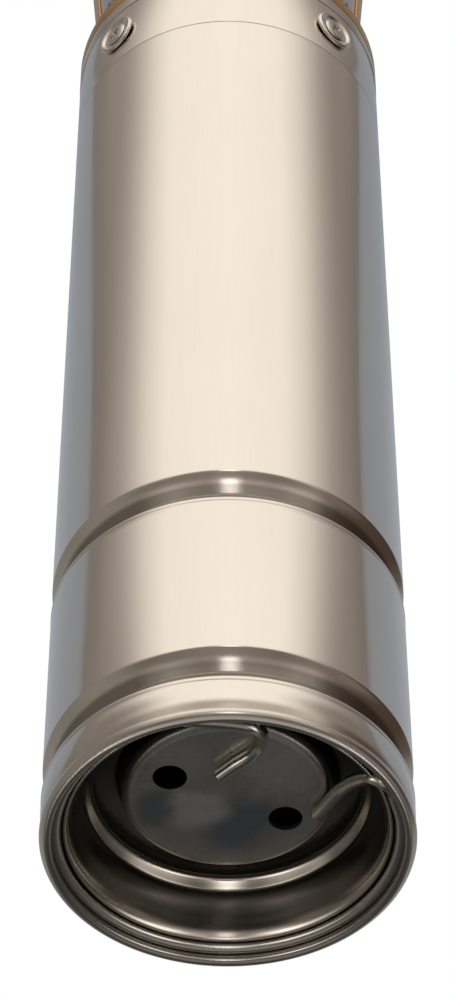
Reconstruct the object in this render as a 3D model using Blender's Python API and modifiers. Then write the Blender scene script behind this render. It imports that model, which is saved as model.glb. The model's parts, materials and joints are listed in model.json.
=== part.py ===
"""Borehole submersible pump with a 90 mm body, built upright in metres, +Z up.

The motor's open lower rim stands on z = 0 and the pump's axis is Z. From the bottom: the motor shell
with its sprung end cover, the lower bearing bracket, stator and rotor, the motor head with its shaft
seal, the joint sleeve with its four screws, the brass intake bracket with its strainers, the pump
casing with its stages, and the discharge head with its check valve and rope eyes.
An azimuth is measured from the front, -Y, towards +X.
"""

import math

import bmesh
import bpy
from mathutils import Matrix, Vector

MM = 0.001
MERGE = 0.00001
ROUND_SIDES = 24
COARSE_SIDES = 12
SMALL_SIDES = 8
HEXAGON_SIDES = 6

# Sizes shared by many pieces
TUBE_R = 45.0 * MM
TUBE_WALL = 1.5 * MM
FIT = 0.3 * MM
SHEET = 1.2 * MM
BORE_R = TUBE_R - TUBE_WALL
INNER_R = BORE_R - FIT

# Motor shell, from its rolled lip up to the joint with the sleeve
SHELL_LENGTH = 279.25 * MM
LIP_R = 1.9 * MM
LIP_FLAT = 1.6 * MM
NECK_Z = 3.6 * MM
NECK_DEPTH = 0.4 * MM
LIP_SHOULDER_Z = 7.5 * MM
GROOVE_DEPTH = 3.3 * MM
GROOVE_HEIGHT = 10.5 * MM
LOW_GROOVE_Z = 12.4 * MM
HIGH_GROOVE_Z = 74.0 * MM
GROOVE_STEPS = 3

# Snap ring, clamp ring, end cover and diaphragm in the open lower end
WIRE_R = 1.85 * MM
WIRE_CLEARANCE = 0.55 * MM
WIRE_RING_R = BORE_R - WIRE_R - WIRE_CLEARANCE
WIRE_GAP_FROM = 8.0
WIRE_GAP_TO = 70.0
WIRE_RING_POINTS = 24
CLAMP_MOUTH_R = BORE_R - 5.9 * MM
CLAMP_RIDGE_R = BORE_R - 10.7 * MM
CLAMP_DROP = 3.3 * MM
COVER_FACE_Z = 16.0 * MM
COVER_DISH_R = CLAMP_RIDGE_R - 6.8 * MM
COVER_FLAT_R = COVER_DISH_R - 3.5 * MM
COVER_DISH_DEPTH = 7.0 * MM
COVER_HOLE_R = 4.15 * MM
COVER_HOLE_PITCH_R = COVER_FLAT_R - 6.8 * MM
COVER_HOLE_ANGLE = 27.5
DIAPHRAGM_WALL = 1.5 * MM
DIAPHRAGM_RIM = 3.0 * MM
DIAPHRAGM_RIM_WIDTH = 6.6 * MM
DIAPHRAGM_HEIGHT = 15.0 * MM

# Ball bearings and motor shaft
BEARING_BORE_R = 6.0 * MM
BEARING_OUTER_R = 16.0 * MM
BEARING_WIDTH = 10.0 * MM
RACE_WALL = 2.2 * MM
BALL_R = 2.2 * MM
BALL_COUNT = 6
SHAFT_R = BEARING_BORE_R - FIT
SHAFT_CORE_R = 9.0 * MM

# Lower bearing bracket
BRACKET_WEB_Z = 46.0 * MM
BRACKET_WEB = 6.0 * MM
HUB_WALL = 4.5 * MM
BRACKET_WALL = 4.2 * MM
BRACKET_PORT_R = 2.6 * MM

# Stator and rotor
STATOR_Z = 106.0 * MM
STATOR_BELOW_JOINT = 55.25 * MM
STATOR_BORE_R = 0.498 * INNER_R
SLOT_COUNT = 12
SLOT_INNER_R = 0.579 * INNER_R
SLOT_OUTER_R = 0.833 * INNER_R
SLOT_WIDTH = 6.0 * MM
END_TURN_HEIGHT = 15.0 * MM
AIR_GAP = 0.9 * MM
ROTOR_OVERHANG = 7.0 * MM
END_RING_R = STATOR_BORE_R - 4.0 * MM
FIN_COUNT = 6

# Motor head, joint sleeve and shaft seal
JOINT_GAP = 0.3 * MM
SLEEVE_LENGTH = 23.8 * MM
HEAD_RING = 6.2 * MM
HEAD_SKIRT = 21.5 * MM
HEAD_SKIRT_WALL = 4.0 * MM
HEAD_WEB_ABOVE_JOINT = 2.5 * MM
SEAL_CHAMBER_R = 15.0 * MM
SEAL_CHAMBER_DEPTH = 22.8 * MM
SEAL_SEAT_R = 11.5 * MM
SEAL_SEAT_HEIGHT = 4.2 * MM
SEAL_HEAD_R = 10.5 * MM
SEAL_HEAD_HEIGHT = 5.2 * MM
SEAL_SPRING_R = 8.0 * MM
SEAL_WIRE_R = 0.6 * MM
SEAL_SPRING_HEIGHT = 8.0 * MM
SEAL_SPRING_TURNS = 3
SLINGER_R = 14.0 * MM
SLINGER_DISC = 2.0 * MM
SLINGER_HUB_R = 9.0 * MM
SLINGER_HEIGHT = 10.5 * MM
ORING_R = 1.3 * MM
ORING_SIDES = 5
SCREW_COUNT = 4
SCREW_FIRST_AZIMUTH = 43.6
SCREW_ABOVE_JOINT = 12.6 * MM
SCREW_SHANK_R = 2.0 * MM
SCREW_LENGTH = 9.0 * MM
SCREW_HEAD_R = 4.9 * MM
SCREW_HEAD = 2.3 * MM
CROSS_WIDTH = 1.1 * MM
CROSS_LENGTH = 4.6 * MM
CROSS_DEPTH = 1.2 * MM
WASHER_R = 6.8 * MM
WASHER_SHEET = 0.6 * MM
WASHER_RISE = 1.6 * MM

# Intake bracket, cable gland, bolts and strainers
INTAKE_FLANGE = 6.85 * MM
INTAKE_FOOT_R = TUBE_R - 7.0 * MM
INTAKE_CONE = 72.0 * MM
INTAKE_RIM = 8.0 * MM
INTAKE_WALL = 3.2 * MM
INTAKE_FLOOR = 2.0 * MM
SPIGOT = 8.3 * MM
EYE_PLATE = 2.4 * MM
EYE_R = 0.336 * INNER_R
WINDOW_LOW = 5.0 * MM
WINDOW_HIGH = 6.0 * MM
FRONT_WINDOW = (-77.0, 77.0)
RIGHT_WINDOW = (103.0, 161.0)
LEFT_WINDOW = (199.0, 257.0)
CABLE_NOTCH_WIDTH = 16.0 * MM
CABLE_NOTCH_R = TUBE_R - 14.0 * MM
CABLE_NOTCH_HEIGHT = 62.0 * MM
GLAND_PITCH_R = TUBE_R - 7.0 * MM
GLAND_BODY_R = 5.0 * MM
GLAND_NUT_R = 6.6 * MM
GLAND_NUT = 5.0 * MM
GLAND_COLLAR = 5.0 * MM
GLAND_SEAT_DEPTH = 5.4 * MM
CABLE_R = 3.3 * MM
LEAD_HOLE_R = 2.2 * MM
LEAD_HOLE_PITCH_R = GLAND_PITCH_R - 2.0 * MM
BOLT_COUNT = 4
BOLT_PITCH_R = 0.579 * INNER_R
BOLT_R = 2.5 * MM
BOLT_HEAD_R = 4.6 * MM
BOLT_HEAD = 3.5 * MM
BOLT_DEPTH = 9.0 * MM
STRAINER_SHEET = 1.0 * MM
STRAINER_SET_BACK = 0.6 * MM
STRAINER_HOLE_R = 3.4 * MM
STRAINER_PITCH = 19.0 * MM
STRAINER_EDGE = 6.0 * MM

# Coupling and pump shaft
COUPLING_R = 10.5 * MM
COUPLING_Z_ABOVE_FLANGE = 15.0 * MM
COUPLING_LENGTH = 40.0 * MM
COUPLING_ENGAGEMENT = 18.0 * MM
HEX_R = 5.7 * MM
HEX_CLEARANCE = 0.35 * MM
JOURNAL_R = 5.4 * MM

# Pump stages
STAGE_COUNT = 4
STAGE_PITCH = 26.0 * MM
STAGE_WALL = 2.2 * MM
DISC_UNDERSIDE = 12.6 * MM
DISC = 1.8 * MM
DISC_R = INNER_R - 5.8 * MM
RETURN_VANE_COUNT = 4
RETURN_VANE_SWEEP = 62.0
VANE = 1.6 * MM
IMPELLER_R = 0.787 * INNER_R
IMPELLER_HUB_R = 9.0 * MM
IMPELLER_LIFT = 1.2 * MM
IMPELLER_EYE_CLEARANCE = 0.6 * MM
IMPELLER_VANE_COUNT = 5
IMPELLER_VANE_SWEEP = 70.0
SHROUD = 1.2 * MM
IMPELLER_CHANNEL = 4.6 * MM

# Discharge head, top bush and check valve
HEAD_SPIGOT = 19.8 * MM
HEAD_NECK_RISE = 32.0 * MM
HEAD_RIM_RISE = 10.0 * MM
HEAD_COLLAR = 32.0 * MM
HEAD_CAVITY_WALL = 3.2 * MM
OUTLET_R = TUBE_R * 13 / 30
HEAD_COLLAR_R = OUTLET_R + 6.5 * MM
OUTLET_DEPTH = 43.0 * MM
VALVE_SEAT_R = OUTLET_R - 4.5 * MM
VALVE_SEAT = 3.0 * MM
SPOKE_COUNT = 3
SPOKE_WIDTH = 4.0 * MM
SPOKE_HEIGHT = 10.0 * MM
BUSH_WALL = 2.2 * MM
BUSH_LENGTH = 17.0 * MM
BUSH_CARRIER_WALL = 3.4 * MM
EYE_LUG_R = 8.6 * MM
EYE_LUG_THICKNESS = 9.0 * MM
EYE_LUG_PITCH_R = TUBE_R - EYE_LUG_R - 0.8 * MM
EYE_HOLE_R = 4.5 * MM
EYE_BELOW_TOP = 15.0 * MM
SEAL_RING_HEIGHT = 2.8 * MM
POPPET_DISC = 2.5 * MM
POPPET_R = OUTLET_R - 1.7 * MM
POPPET_BOSS_R = VALVE_SEAT_R - 2.0 * MM
POPPET_BOSS = 4.0 * MM
STEM_R = 2.0 * MM
GUIDE_BELOW_TOP = 22.0 * MM
GUIDE_HEIGHT = 4.0 * MM
GUIDE_RING_WALL = 2.4 * MM
GUIDE_HUB_R = 4.6 * MM
VALVE_SPRING_R = 6.6 * MM
VALVE_WIRE_R = 0.6 * MM
VALVE_SPRING_TURNS = 3
SPRING_POINTS = 8

# Levels that follow from the sizes above, from the bottom up
LOW_GROOVE_TOP = LOW_GROOVE_Z + GROOVE_HEIGHT
WIRE_Z = 2 * LIP_R + WIRE_R - 0.1 * MM
CLAMP_FLANGE_Z = WIRE_Z + WIRE_R + FIT
COVER_FLANGE_Z = COVER_FACE_Z + COVER_DISH_DEPTH
COVER_R = BORE_R - GROOVE_DEPTH - 2 * FIT
DIAPHRAGM_RIM_INNER_R = COVER_R - DIAPHRAGM_RIM_WIDTH
DIAPHRAGM_Z = COVER_FLANGE_Z + SHEET + FIT
BRACKET_SEAT_Z = DIAPHRAGM_Z + DIAPHRAGM_RIM + FIT
BRACKET_Z = LOW_GROOVE_TOP + TUBE_WALL + FIT
BRACKET_TOP = HIGH_GROOVE_Z - TUBE_WALL - FIT
LOW_BEARING_Z = BRACKET_WEB_Z + BRACKET_WEB + FIT
STATOR_TOP = SHELL_LENGTH - STATOR_BELOW_JOINT
SLEEVE_Z = SHELL_LENGTH + JOINT_GAP
HEAD_RING_Z = SLEEVE_Z + SLEEVE_LENGTH + FIT
MOTOR_TOP = HEAD_RING_Z + HEAD_RING
HEAD_WEB_Z = SLEEVE_Z + HEAD_WEB_ABOVE_JOINT
SEAL_FLOOR_Z = MOTOR_TOP - SEAL_CHAMBER_DEPTH
HIGH_BEARING_TOP = HEAD_WEB_Z - FIT
HIGH_BEARING_Z = HIGH_BEARING_TOP - BEARING_WIDTH
SCREW_Z = SLEEVE_Z + SCREW_ABOVE_JOINT
SEAL_SEAT_Z = SEAL_FLOOR_Z + FIT
SEAL_HEAD_Z = SEAL_SEAT_Z + SEAL_SEAT_HEIGHT + FIT
SEAL_SPRING_Z = SEAL_HEAD_Z + SEAL_HEAD_HEIGHT + FIT
SLINGER_Z = SEAL_SPRING_Z + SEAL_SPRING_HEIGHT + FIT
INTAKE_Z = MOTOR_TOP + FIT
FLANGE_TOP = INTAKE_Z + INTAKE_FLANGE
CONE_TOP = FLANGE_TOP + INTAKE_CONE
INTAKE_SHOULDER = CONE_TOP + INTAKE_RIM
EYE_PLATE_TOP = INTAKE_SHOULDER + SPIGOT
COUPLING_Z = FLANGE_TOP + COUPLING_Z_ABOVE_FLANGE
COUPLING_TOP = COUPLING_Z + COUPLING_LENGTH
MOTOR_SHAFT_TOP = COUPLING_Z + COUPLING_ENGAGEMENT
STAGE_Z = EYE_PLATE_TOP + FIT
STACK_TOP = STAGE_Z + STAGE_COUNT * STAGE_PITCH
CASING_Z = INTAKE_SHOULDER + FIT
HEAD_Z = STACK_TOP
CASING_TOP = HEAD_Z + HEAD_SPIGOT
HEAD_SHOULDER = CASING_TOP + FIT
HEAD_RIM_TOP = HEAD_SHOULDER + HEAD_RIM_RISE
HEAD_NECK_Z = HEAD_SHOULDER + HEAD_NECK_RISE
HEAD_TOP = HEAD_NECK_Z + HEAD_COLLAR
OUTLET_FLOOR = HEAD_TOP - OUTLET_DEPTH
EYE_Z = HEAD_TOP - EYE_BELOW_TOP
BUSH_Z = HEAD_Z + FIT
SEAL_RING_Z = OUTLET_FLOOR + FIT
POPPET_Z = SEAL_RING_Z + SEAL_RING_HEIGHT + FIT
GUIDE_Z = HEAD_TOP - GUIDE_BELOW_TOP
VALVE_SPRING_Z = POPPET_Z + POPPET_DISC + FIT
VALVE_SPRING_TOP = GUIDE_Z - FIT

# Colour, metallic value and roughness of each material
FINISHES = {
    "stainless_tube": ((0.80, 0.74, 0.67), 1.0, 0.16),
    "stainless_pressing": ((0.68, 0.63, 0.57), 1.0, 0.22),
    "spring_steel": ((0.66, 0.61, 0.55), 1.0, 0.22),
    "fastener_steel": ((0.76, 0.71, 0.65), 1.0, 0.20),
    "bearing_steel": ((0.62, 0.62, 0.63), 1.0, 0.15),
    "shaft_steel": ((0.50, 0.50, 0.51), 1.0, 0.25),
    "core_steel": ((0.22, 0.23, 0.25), 1.0, 0.45),
    "copper_winding": ((0.72, 0.30, 0.12), 1.0, 0.35),
    "rotor_aluminium": ((0.60, 0.61, 0.62), 1.0, 0.38),
    "cast_iron": ((0.16, 0.17, 0.18), 0.6, 0.60),
    "cast_steel": ((0.42, 0.40, 0.38), 1.0, 0.38),
    "brass": ((0.72, 0.45, 0.17), 1.0, 0.34),
    "rubber": ((0.02, 0.02, 0.02), 0.0, 0.75),
    "ceramic": ((0.82, 0.80, 0.76), 0.0, 0.30),
    "stage_plastic": ((0.05, 0.05, 0.055), 0.0, 0.42),
    "impeller_plastic": ((0.62, 0.60, 0.54), 0.0, 0.45),
}


def clear_scene():
    for obj in list(bpy.data.objects):
        bpy.data.objects.remove(obj, do_unlink=True)


def new_collection(name):
    collection = bpy.data.collections.new(name)
    bpy.context.scene.collection.children.link(collection)
    return collection


def make_materials():
    """One Principled material for each finish."""
    made = {}
    for name, (colour, metallic, roughness) in FINISHES.items():
        material = bpy.data.materials.new(name)
        material.use_nodes = True
        shader = material.node_tree.nodes["Principled BSDF"]
        shader.inputs["Base Color"].default_value = (*colour, 1.0)
        shader.inputs["Metallic"].default_value = metallic
        shader.inputs["Roughness"].default_value = roughness
        made[name] = material
    return made


clear_scene()
PARTS = new_collection("borehole_submersible_pump")
CUTTERS = new_collection("cutters")
MATERIALS = make_materials()


def direction(azimuth):
    """The horizontal unit vector at an azimuth in degrees from the front."""
    angle = math.radians(azimuth)
    return Vector((math.sin(angle), -math.cos(angle), 0.0))


def polar(r, angle):
    """The point at radius r and an angle in degrees from +X, in the plane."""
    return (r * math.cos(math.radians(angle)), r * math.sin(math.radians(angle)))


def add_object(name, data, finish=None):
    """A part when a finish is given, otherwise a helper that only cuts or joins."""
    obj = bpy.data.objects.new(name, data)
    if finish is None:
        CUTTERS.objects.link(obj)
        obj.hide_render = True
        obj.display_type = "WIRE"
    else:
        PARTS.objects.link(obj)
        obj.data.materials.append(MATERIALS[finish])
    return obj


def turned(name, profile, finish=None, segments=ROUND_SIDES):
    """A profile of (radius, height) points turned about Z: its outer side runs down."""
    mesh = bpy.data.meshes.new(name)
    count = len(profile)
    on_axis = profile[0][0] == 0 and profile[-1][0] == 0
    edges = [(i, i + 1) for i in range(count - 1)]
    if not on_axis:
        edges.append((count - 1, 0))
    mesh.from_pydata([(r, 0.0, z) for r, z in profile], edges, [])
    obj = add_object(name, mesh, finish)
    screw = obj.modifiers.new("turn", "SCREW")
    screw.steps = segments
    screw.render_steps = segments
    screw.use_merge_vertices = True
    screw.merge_threshold = MERGE
    return obj


def tube_profile(outer, inner, low, high):
    return [(outer, high), (outer, low), (inner, low), (inner, high)]


def cylinder(name, radius, depth, centre, axis, finish=None, segments=SMALL_SIDES):
    """A closed cylinder about its centre, along an axis vector."""
    mesh = bpy.data.meshes.new(name)
    shape = bmesh.new()
    bmesh.ops.create_cone(
        shape, cap_ends=True, segments=segments, radius1=radius, radius2=radius, depth=depth
    )
    shape.to_mesh(mesh)
    shape.free()
    obj = add_object(name, mesh, finish)
    obj.location = centre
    obj.rotation_mode = "QUATERNION"
    obj.rotation_quaternion = Vector(axis).to_track_quat("Z", "Y")
    return obj


def box(name, size, centre, turn=0.0, finish=None):
    """A box about its centre, turned about Z by an angle in degrees."""
    mesh = bpy.data.meshes.new(name)
    shape = bmesh.new()
    bmesh.ops.create_cube(shape, size=1.0)
    bmesh.ops.scale(shape, vec=size, verts=shape.verts)
    shape.to_mesh(mesh)
    shape.free()
    obj = add_object(name, mesh, finish)
    obj.location = centre
    obj.rotation_euler.z = math.radians(turn)
    return obj


def mesh_of(curve_object, name, finish=None):
    """The curve's evaluated mesh with its caps welded, in an object of its own."""
    bpy.context.view_layer.update()
    graph = bpy.context.evaluated_depsgraph_get()
    mesh = bpy.data.meshes.new_from_object(curve_object.evaluated_get(graph))
    mesh.name = name
    mesh.materials.clear()
    shape = bmesh.new()
    shape.from_mesh(mesh)
    bmesh.ops.remove_doubles(shape, verts=shape.verts, dist=MERGE)
    bmesh.ops.recalc_face_normals(shape, faces=shape.faces)
    shape.to_mesh(mesh)
    shape.free()
    placed = curve_object.matrix_world.copy()
    bpy.data.objects.remove(curve_object, do_unlink=True)
    obj = add_object(name, mesh, finish)
    obj.matrix_world = placed
    return obj


def plates(name, outlines, low, high, finish=None):
    """Flat outlines, each a list of (x, y), made solid between two heights."""
    curve = bpy.data.curves.new(name, "CURVE")
    curve.dimensions = "2D"
    curve.fill_mode = "BOTH"
    curve.extrude = (high - low) / 2
    for outline in outlines:
        spline = curve.splines.new("POLY")
        spline.points.add(len(outline) - 1)
        for point, (x, y) in zip(spline.points, outline):
            point.co = (x, y, 0.0, 1.0)
        spline.use_cyclic_u = True
    guide = bpy.data.objects.new(name + "_outline", curve)
    CUTTERS.objects.link(guide)
    guide.location.z = (low + high) / 2
    return mesh_of(guide, name, finish)


def wire(name, points, radius, finish=None):
    """A round wire through the points, with filled ends."""
    curve = bpy.data.curves.new(name, "CURVE")
    curve.dimensions = "3D"
    curve.bevel_depth = radius
    curve.bevel_resolution = 2
    curve.use_fill_caps = True
    spline = curve.splines.new("POLY")
    spline.points.add(len(points) - 1)
    for point, place in zip(spline.points, points):
        point.co = (*place, 1.0)
    guide = bpy.data.objects.new(name + "_centreline", curve)
    CUTTERS.objects.link(guide)
    return mesh_of(guide, name, finish)


def coil(radius, wire_radius, low, high, turns):
    """Points of an open coil whose wire stays between two heights."""
    count = turns * SPRING_POINTS
    first = low + wire_radius
    rise = high - low - 2 * wire_radius
    return [
        (*polar(radius, 360.0 * i / SPRING_POINTS), first + rise * i / count)
        for i in range(count + 1)
    ]


def combine(obj, other, operation):
    boolean = obj.modifiers.new(other.name, "BOOLEAN")
    boolean.operation = operation
    boolean.solver = "EXACT"
    boolean.object = other


def cut(obj, *others):
    for other in others:
        combine(obj, other, "DIFFERENCE")


def join(obj, *others):
    for other in others:
        combine(obj, other, "UNION")


def sector(r_in, r_out, start, end, step=6.0):
    """The outline of a flat ring's sector between two azimuths."""
    count = max(2, math.ceil((end - start) / step))
    sweep = [start + (end - start) * i / count for i in range(count + 1)]
    outer = [tuple((direction(a) * r_out).xy) for a in sweep]
    inner = [tuple((direction(a) * r_in).xy) for a in reversed(sweep)]
    return outer + inner


def vane_sides(r_in, r_out, start, sweep, thickness, steps=2):
    """Both sides of one curved vane, from its inner end to its outer end."""
    middle = [
        Vector(polar(r_in + (r_out - r_in) * i / steps, start + sweep * (i / steps) ** 0.8))
        for i in range(steps + 1)
    ]
    left, right = [], []
    for i, point in enumerate(middle):
        along = (middle[min(i + 1, steps)] - middle[max(i - 1, 0)]).normalized()
        side = Vector((-along.y, along.x)) * thickness / 2
        left.append(tuple(point + side))
        right.append(tuple(point - side))
    return left, right


def channels(count, r_in, r_out, sweep, thickness):
    """Outlines of the passages between the curved vanes of a ring."""
    pitch = 360.0 / count
    outlines = []
    for i in range(count):
        left, _ = vane_sides(r_in, r_out, pitch * i, sweep, thickness)
        _, right = vane_sides(r_in, r_out, pitch * (i + 1), sweep, thickness)
        rim = polar(r_out * 1.08, pitch * (i + 0.5) + sweep)
        outlines.append([*left, rim, *right[::-1]])
    return outlines


def spokes(count, r_in, r_out, width):
    """Outlines of straight spokes between two radii."""
    outlines = []
    for i in range(count):
        turn = Matrix.Rotation(2 * math.pi * (i + 0.25) / count, 2)
        corners = [(r_in, -width / 2), (r_out, -width / 2), (r_out, width / 2), (r_in, width / 2)]
        outlines.append([tuple(turn @ Vector(corner)) for corner in corners])
    return outlines


def groove(wall_r, low, depth, grow):
    """The half-round rolled groove in a wall, from its top edge to its bottom edge."""
    middle = low + GROOVE_HEIGHT / 2
    reach = GROOVE_HEIGHT / 2 + grow
    points = []
    for i in range(GROOVE_STEPS + 1):
        angle = math.pi * i / GROOVE_STEPS
        points.append((wall_r - depth * math.sin(angle) ** 0.7, middle + reach * math.cos(angle)))
    return points


# Motor shell and the pieces in its open end


def motor_shell():
    """The tube with its two rolled grooves, its necked lower edge and the lip it stands on."""
    lip_centre_r = TUBE_R - LIP_R
    neck_r = TUBE_R - NECK_DEPTH

    def bead(*angles):
        return [(lip_centre_r + x, LIP_R + y) for x, y in (polar(LIP_R, a) for a in angles)]

    flat = [(lip_centre_r + LIP_FLAT / 2, 0.0), (lip_centre_r - LIP_FLAT / 2, 0.0)]
    lip = bead(20, -35) + flat + bead(-145, 160, 110)
    profile = [(TUBE_R, SHELL_LENGTH)]
    profile += groove(TUBE_R, HIGH_GROOVE_Z, GROOVE_DEPTH, 0.0)
    profile += groove(TUBE_R, LOW_GROOVE_Z, GROOVE_DEPTH, 0.0)
    profile += [(TUBE_R, LIP_SHOULDER_Z), (neck_r, NECK_Z)]
    profile += lip
    profile += [(neck_r - TUBE_WALL, NECK_Z + TUBE_WALL / 2), (BORE_R, LIP_SHOULDER_Z)]
    profile += groove(BORE_R, LOW_GROOVE_Z, GROOVE_DEPTH, TUBE_WALL / 2)[::-1]
    profile += groove(BORE_R, HIGH_GROOVE_Z, GROOVE_DEPTH, TUBE_WALL / 2)[::-1]
    profile += [(BORE_R, SHELL_LENGTH)]
    turned("motor_shell", profile, "stainless_tube")


def snap_ring():
    """A round wire ring over the lip: both ends dip under the clamp ring and rise to the cover.

    Each end is a list of places: x and y as shares of the ring's radius, and the share of the rise
    from the ring to the cover's face."""

    def places(end):
        return [(x * WIRE_RING_R, y * WIRE_RING_R, WIRE_Z + rise * share) for x, y, share in end]

    end_z = COVER_FACE_Z - WIRE_R - FIT
    rise = end_z - WIRE_Z
    front_end = [
        (0.187, -0.929, -0.34),
        (0.214, -0.839, -0.27),
        (0.214, -0.766, -0.11),
        (0.173, -0.681, 0.12),
        (0.100, -0.509, 0.48),
        (-0.066, -0.253, 1.00),
    ]
    right_end = [
        (0.861, -0.399, -0.32),
        (0.774, -0.438, -0.21),
        (0.710, -0.384, -0.03),
        (0.659, -0.299, 0.20),
        (0.579, -0.092, 0.61),
        (0.504, 0.158, 1.00),
    ]
    points = places(front_end[::-1])
    sweep = WIRE_GAP_FROM - (WIRE_GAP_TO - 360.0)
    for i in range(WIRE_RING_POINTS + 1):
        azimuth = WIRE_GAP_FROM - sweep * i / WIRE_RING_POINTS
        points.append((*(direction(azimuth) * WIRE_RING_R).xy, WIRE_Z))
    points += places(right_end)
    wire("snap_ring", points, WIRE_R, "spring_steel")


def clamp_ring():
    """The pressed S-shaped ring between the snap ring and the cover's flange."""
    top = COVER_FLANGE_Z - FIT
    low = CLAMP_FLANGE_Z - CLAMP_DROP + SHEET
    throat_r = WIRE_RING_R - WIRE_R - FIT
    ridge_z = COVER_FACE_Z + SHEET
    cone_foot = (CLAMP_MOUTH_R - 0.5 * MM, low + 0.7 * MM)
    profile = [
        (COVER_R, top),
        (COVER_R, top - SHEET),
        (CLAMP_RIDGE_R + 4.0 * MM, top - SHEET),
        (CLAMP_RIDGE_R + 2.4 * MM, ridge_z),
        (CLAMP_MOUTH_R - 0.5 * MM, CLAMP_FLANGE_Z + SHEET),
        (INNER_R, CLAMP_FLANGE_Z + SHEET),
        (INNER_R, CLAMP_FLANGE_Z),
        (throat_r, CLAMP_FLANGE_Z),
        (throat_r, low + 0.7 * MM),
        (CLAMP_MOUTH_R + 0.4 * MM, low),
        cone_foot,
        (CLAMP_RIDGE_R, ridge_z - 0.8 * MM),
        (CLAMP_RIDGE_R + 0.3 * MM, ridge_z + 1.0 * MM),
        (CLAMP_RIDGE_R + 1.8 * MM, ridge_z + 1.9 * MM),
        (CLAMP_RIDGE_R + 2.8 * MM, top),
    ]
    turned("clamp_ring", profile, "stainless_pressing")


def end_cover():
    """The dished cap with its two breather holes."""
    face = COVER_FACE_Z
    flange = COVER_FLANGE_Z
    inner_wall_r = COVER_DISH_R - SHEET
    profile = [
        (0, face + SHEET),
        (COVER_FLAT_R - 0.3 * MM, face + SHEET),
        (inner_wall_r - 0.3 * MM, face + 3.6 * MM),
        (inner_wall_r, flange + SHEET),
        (COVER_R, flange + SHEET),
        (COVER_R, flange),
        (COVER_DISH_R + 0.5 * MM, flange),
        (COVER_DISH_R, face + 3.2 * MM),
        (COVER_DISH_R - 1.2 * MM, face + 0.9 * MM),
        (COVER_FLAT_R, face),
        (0, face),
    ]
    cover = turned("end_cover", profile, "stainless_pressing")
    for side in (0, 180):
        x, y = polar(COVER_HOLE_PITCH_R, COVER_HOLE_ANGLE + side)
        name = f"cover_hole_{side}"
        cut(cover, cylinder(name, COVER_HOLE_R, 4 * SHEET, (x, y, face), (0, 0, 1)))


def diaphragm():
    """The rubber cup that takes up the oil's expansion."""
    low, rim = DIAPHRAGM_Z, DIAPHRAGM_Z + DIAPHRAGM_RIM
    crown = low + DIAPHRAGM_HEIGHT
    wall_r = DIAPHRAGM_RIM_INNER_R
    profile = [
        (0, crown + DIAPHRAGM_WALL),
        (wall_r - 2.5 * MM, crown - 0.5 * MM),
        (wall_r, crown - 4.0 * MM),
        (wall_r, rim),
        (COVER_R, rim),
        (COVER_R, low),
        (wall_r - DIAPHRAGM_WALL, low),
        (wall_r - DIAPHRAGM_WALL, crown - 4.5 * MM),
        (wall_r - 3.5 * MM, crown - 2.0 * MM),
        (0, crown),
    ]
    turned("diaphragm", profile, "rubber", COARSE_SIDES)


def lower_bracket():
    """The cast bracket held between the two rolled grooves, with the lower bearing's seat."""
    seat_r = BEARING_OUTER_R + FIT
    hub_r = seat_r + HUB_WALL
    web_top = BRACKET_WEB_Z + BRACKET_WEB
    hub_top = web_top + FIT + BEARING_WIDTH + 1.0 * MM
    chamber_r = DIAPHRAGM_RIM_INNER_R + 1.2 * MM
    port_pitch_r = (hub_r + chamber_r) / 2
    profile = [
        (0, web_top),
        (seat_r, web_top),
        (seat_r, hub_top),
        (hub_r, hub_top),
        (hub_r, web_top - 1.0 * MM),
        (INNER_R - BRACKET_WALL, web_top - 1.0 * MM),
        (INNER_R - BRACKET_WALL, BRACKET_TOP),
        (INNER_R, BRACKET_TOP),
        (INNER_R, BRACKET_Z),
        (COVER_R + FIT, BRACKET_Z),
        (COVER_R + FIT, BRACKET_SEAT_Z),
        (chamber_r, BRACKET_SEAT_Z),
        (chamber_r, BRACKET_WEB_Z - 2.0 * MM),
        (0, BRACKET_WEB_Z),
    ]
    bracket = turned("lower_bracket", profile, "cast_iron")
    for side in (0, 1):
        centre = (*polar(port_pitch_r, 180.0 * (side + 1.0 / ROUND_SIDES)), BRACKET_WEB_Z)
        name = f"oil_port_{side}"
        cut(bracket, cylinder(name, BRACKET_PORT_R, 4 * BRACKET_WEB, centre, (0, 0, 1)))


# Motor: bearings, shaft, rotor and stator


def bearing(place, low):
    """Outer race, inner race, and the balls in their cage, for the lower or the upper bearing."""
    high = low + BEARING_WIDTH
    middle = low + BEARING_WIDTH / 2
    pitch_r = (BEARING_BORE_R + BEARING_OUTER_R) / 2
    inner_track_r = BEARING_BORE_R + RACE_WALL
    outer_track_r = BEARING_OUTER_R - RACE_WALL
    outer = tube_profile(BEARING_OUTER_R, outer_track_r, low, high)
    turned(f"{place}_bearing_outer", outer, "bearing_steel", COARSE_SIDES)
    inner = tube_profile(inner_track_r, BEARING_BORE_R, low, high)
    turned(f"{place}_bearing_inner", inner, "bearing_steel", COARSE_SIDES)
    cage_profile = tube_profile(
        pitch_r + 0.7 * MM, pitch_r - 0.7 * MM, middle - 1.2 * MM, middle + 1.2 * MM
    )
    cage = turned(f"{place}_bearing_balls", cage_profile, "bearing_steel", COARSE_SIDES)
    balls = bmesh.new()
    for i in range(BALL_COUNT):
        centre = Vector((*polar(pitch_r, 360.0 * i / BALL_COUNT), middle))
        bmesh.ops.create_uvsphere(
            balls, u_segments=6, v_segments=4, radius=BALL_R, matrix=Matrix.Translation(centre)
        )
    mesh = bpy.data.meshes.new(f"{place}_ball_set")
    balls.to_mesh(mesh)
    balls.free()
    join(cage, add_object(f"{place}_ball_set", mesh))


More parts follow.
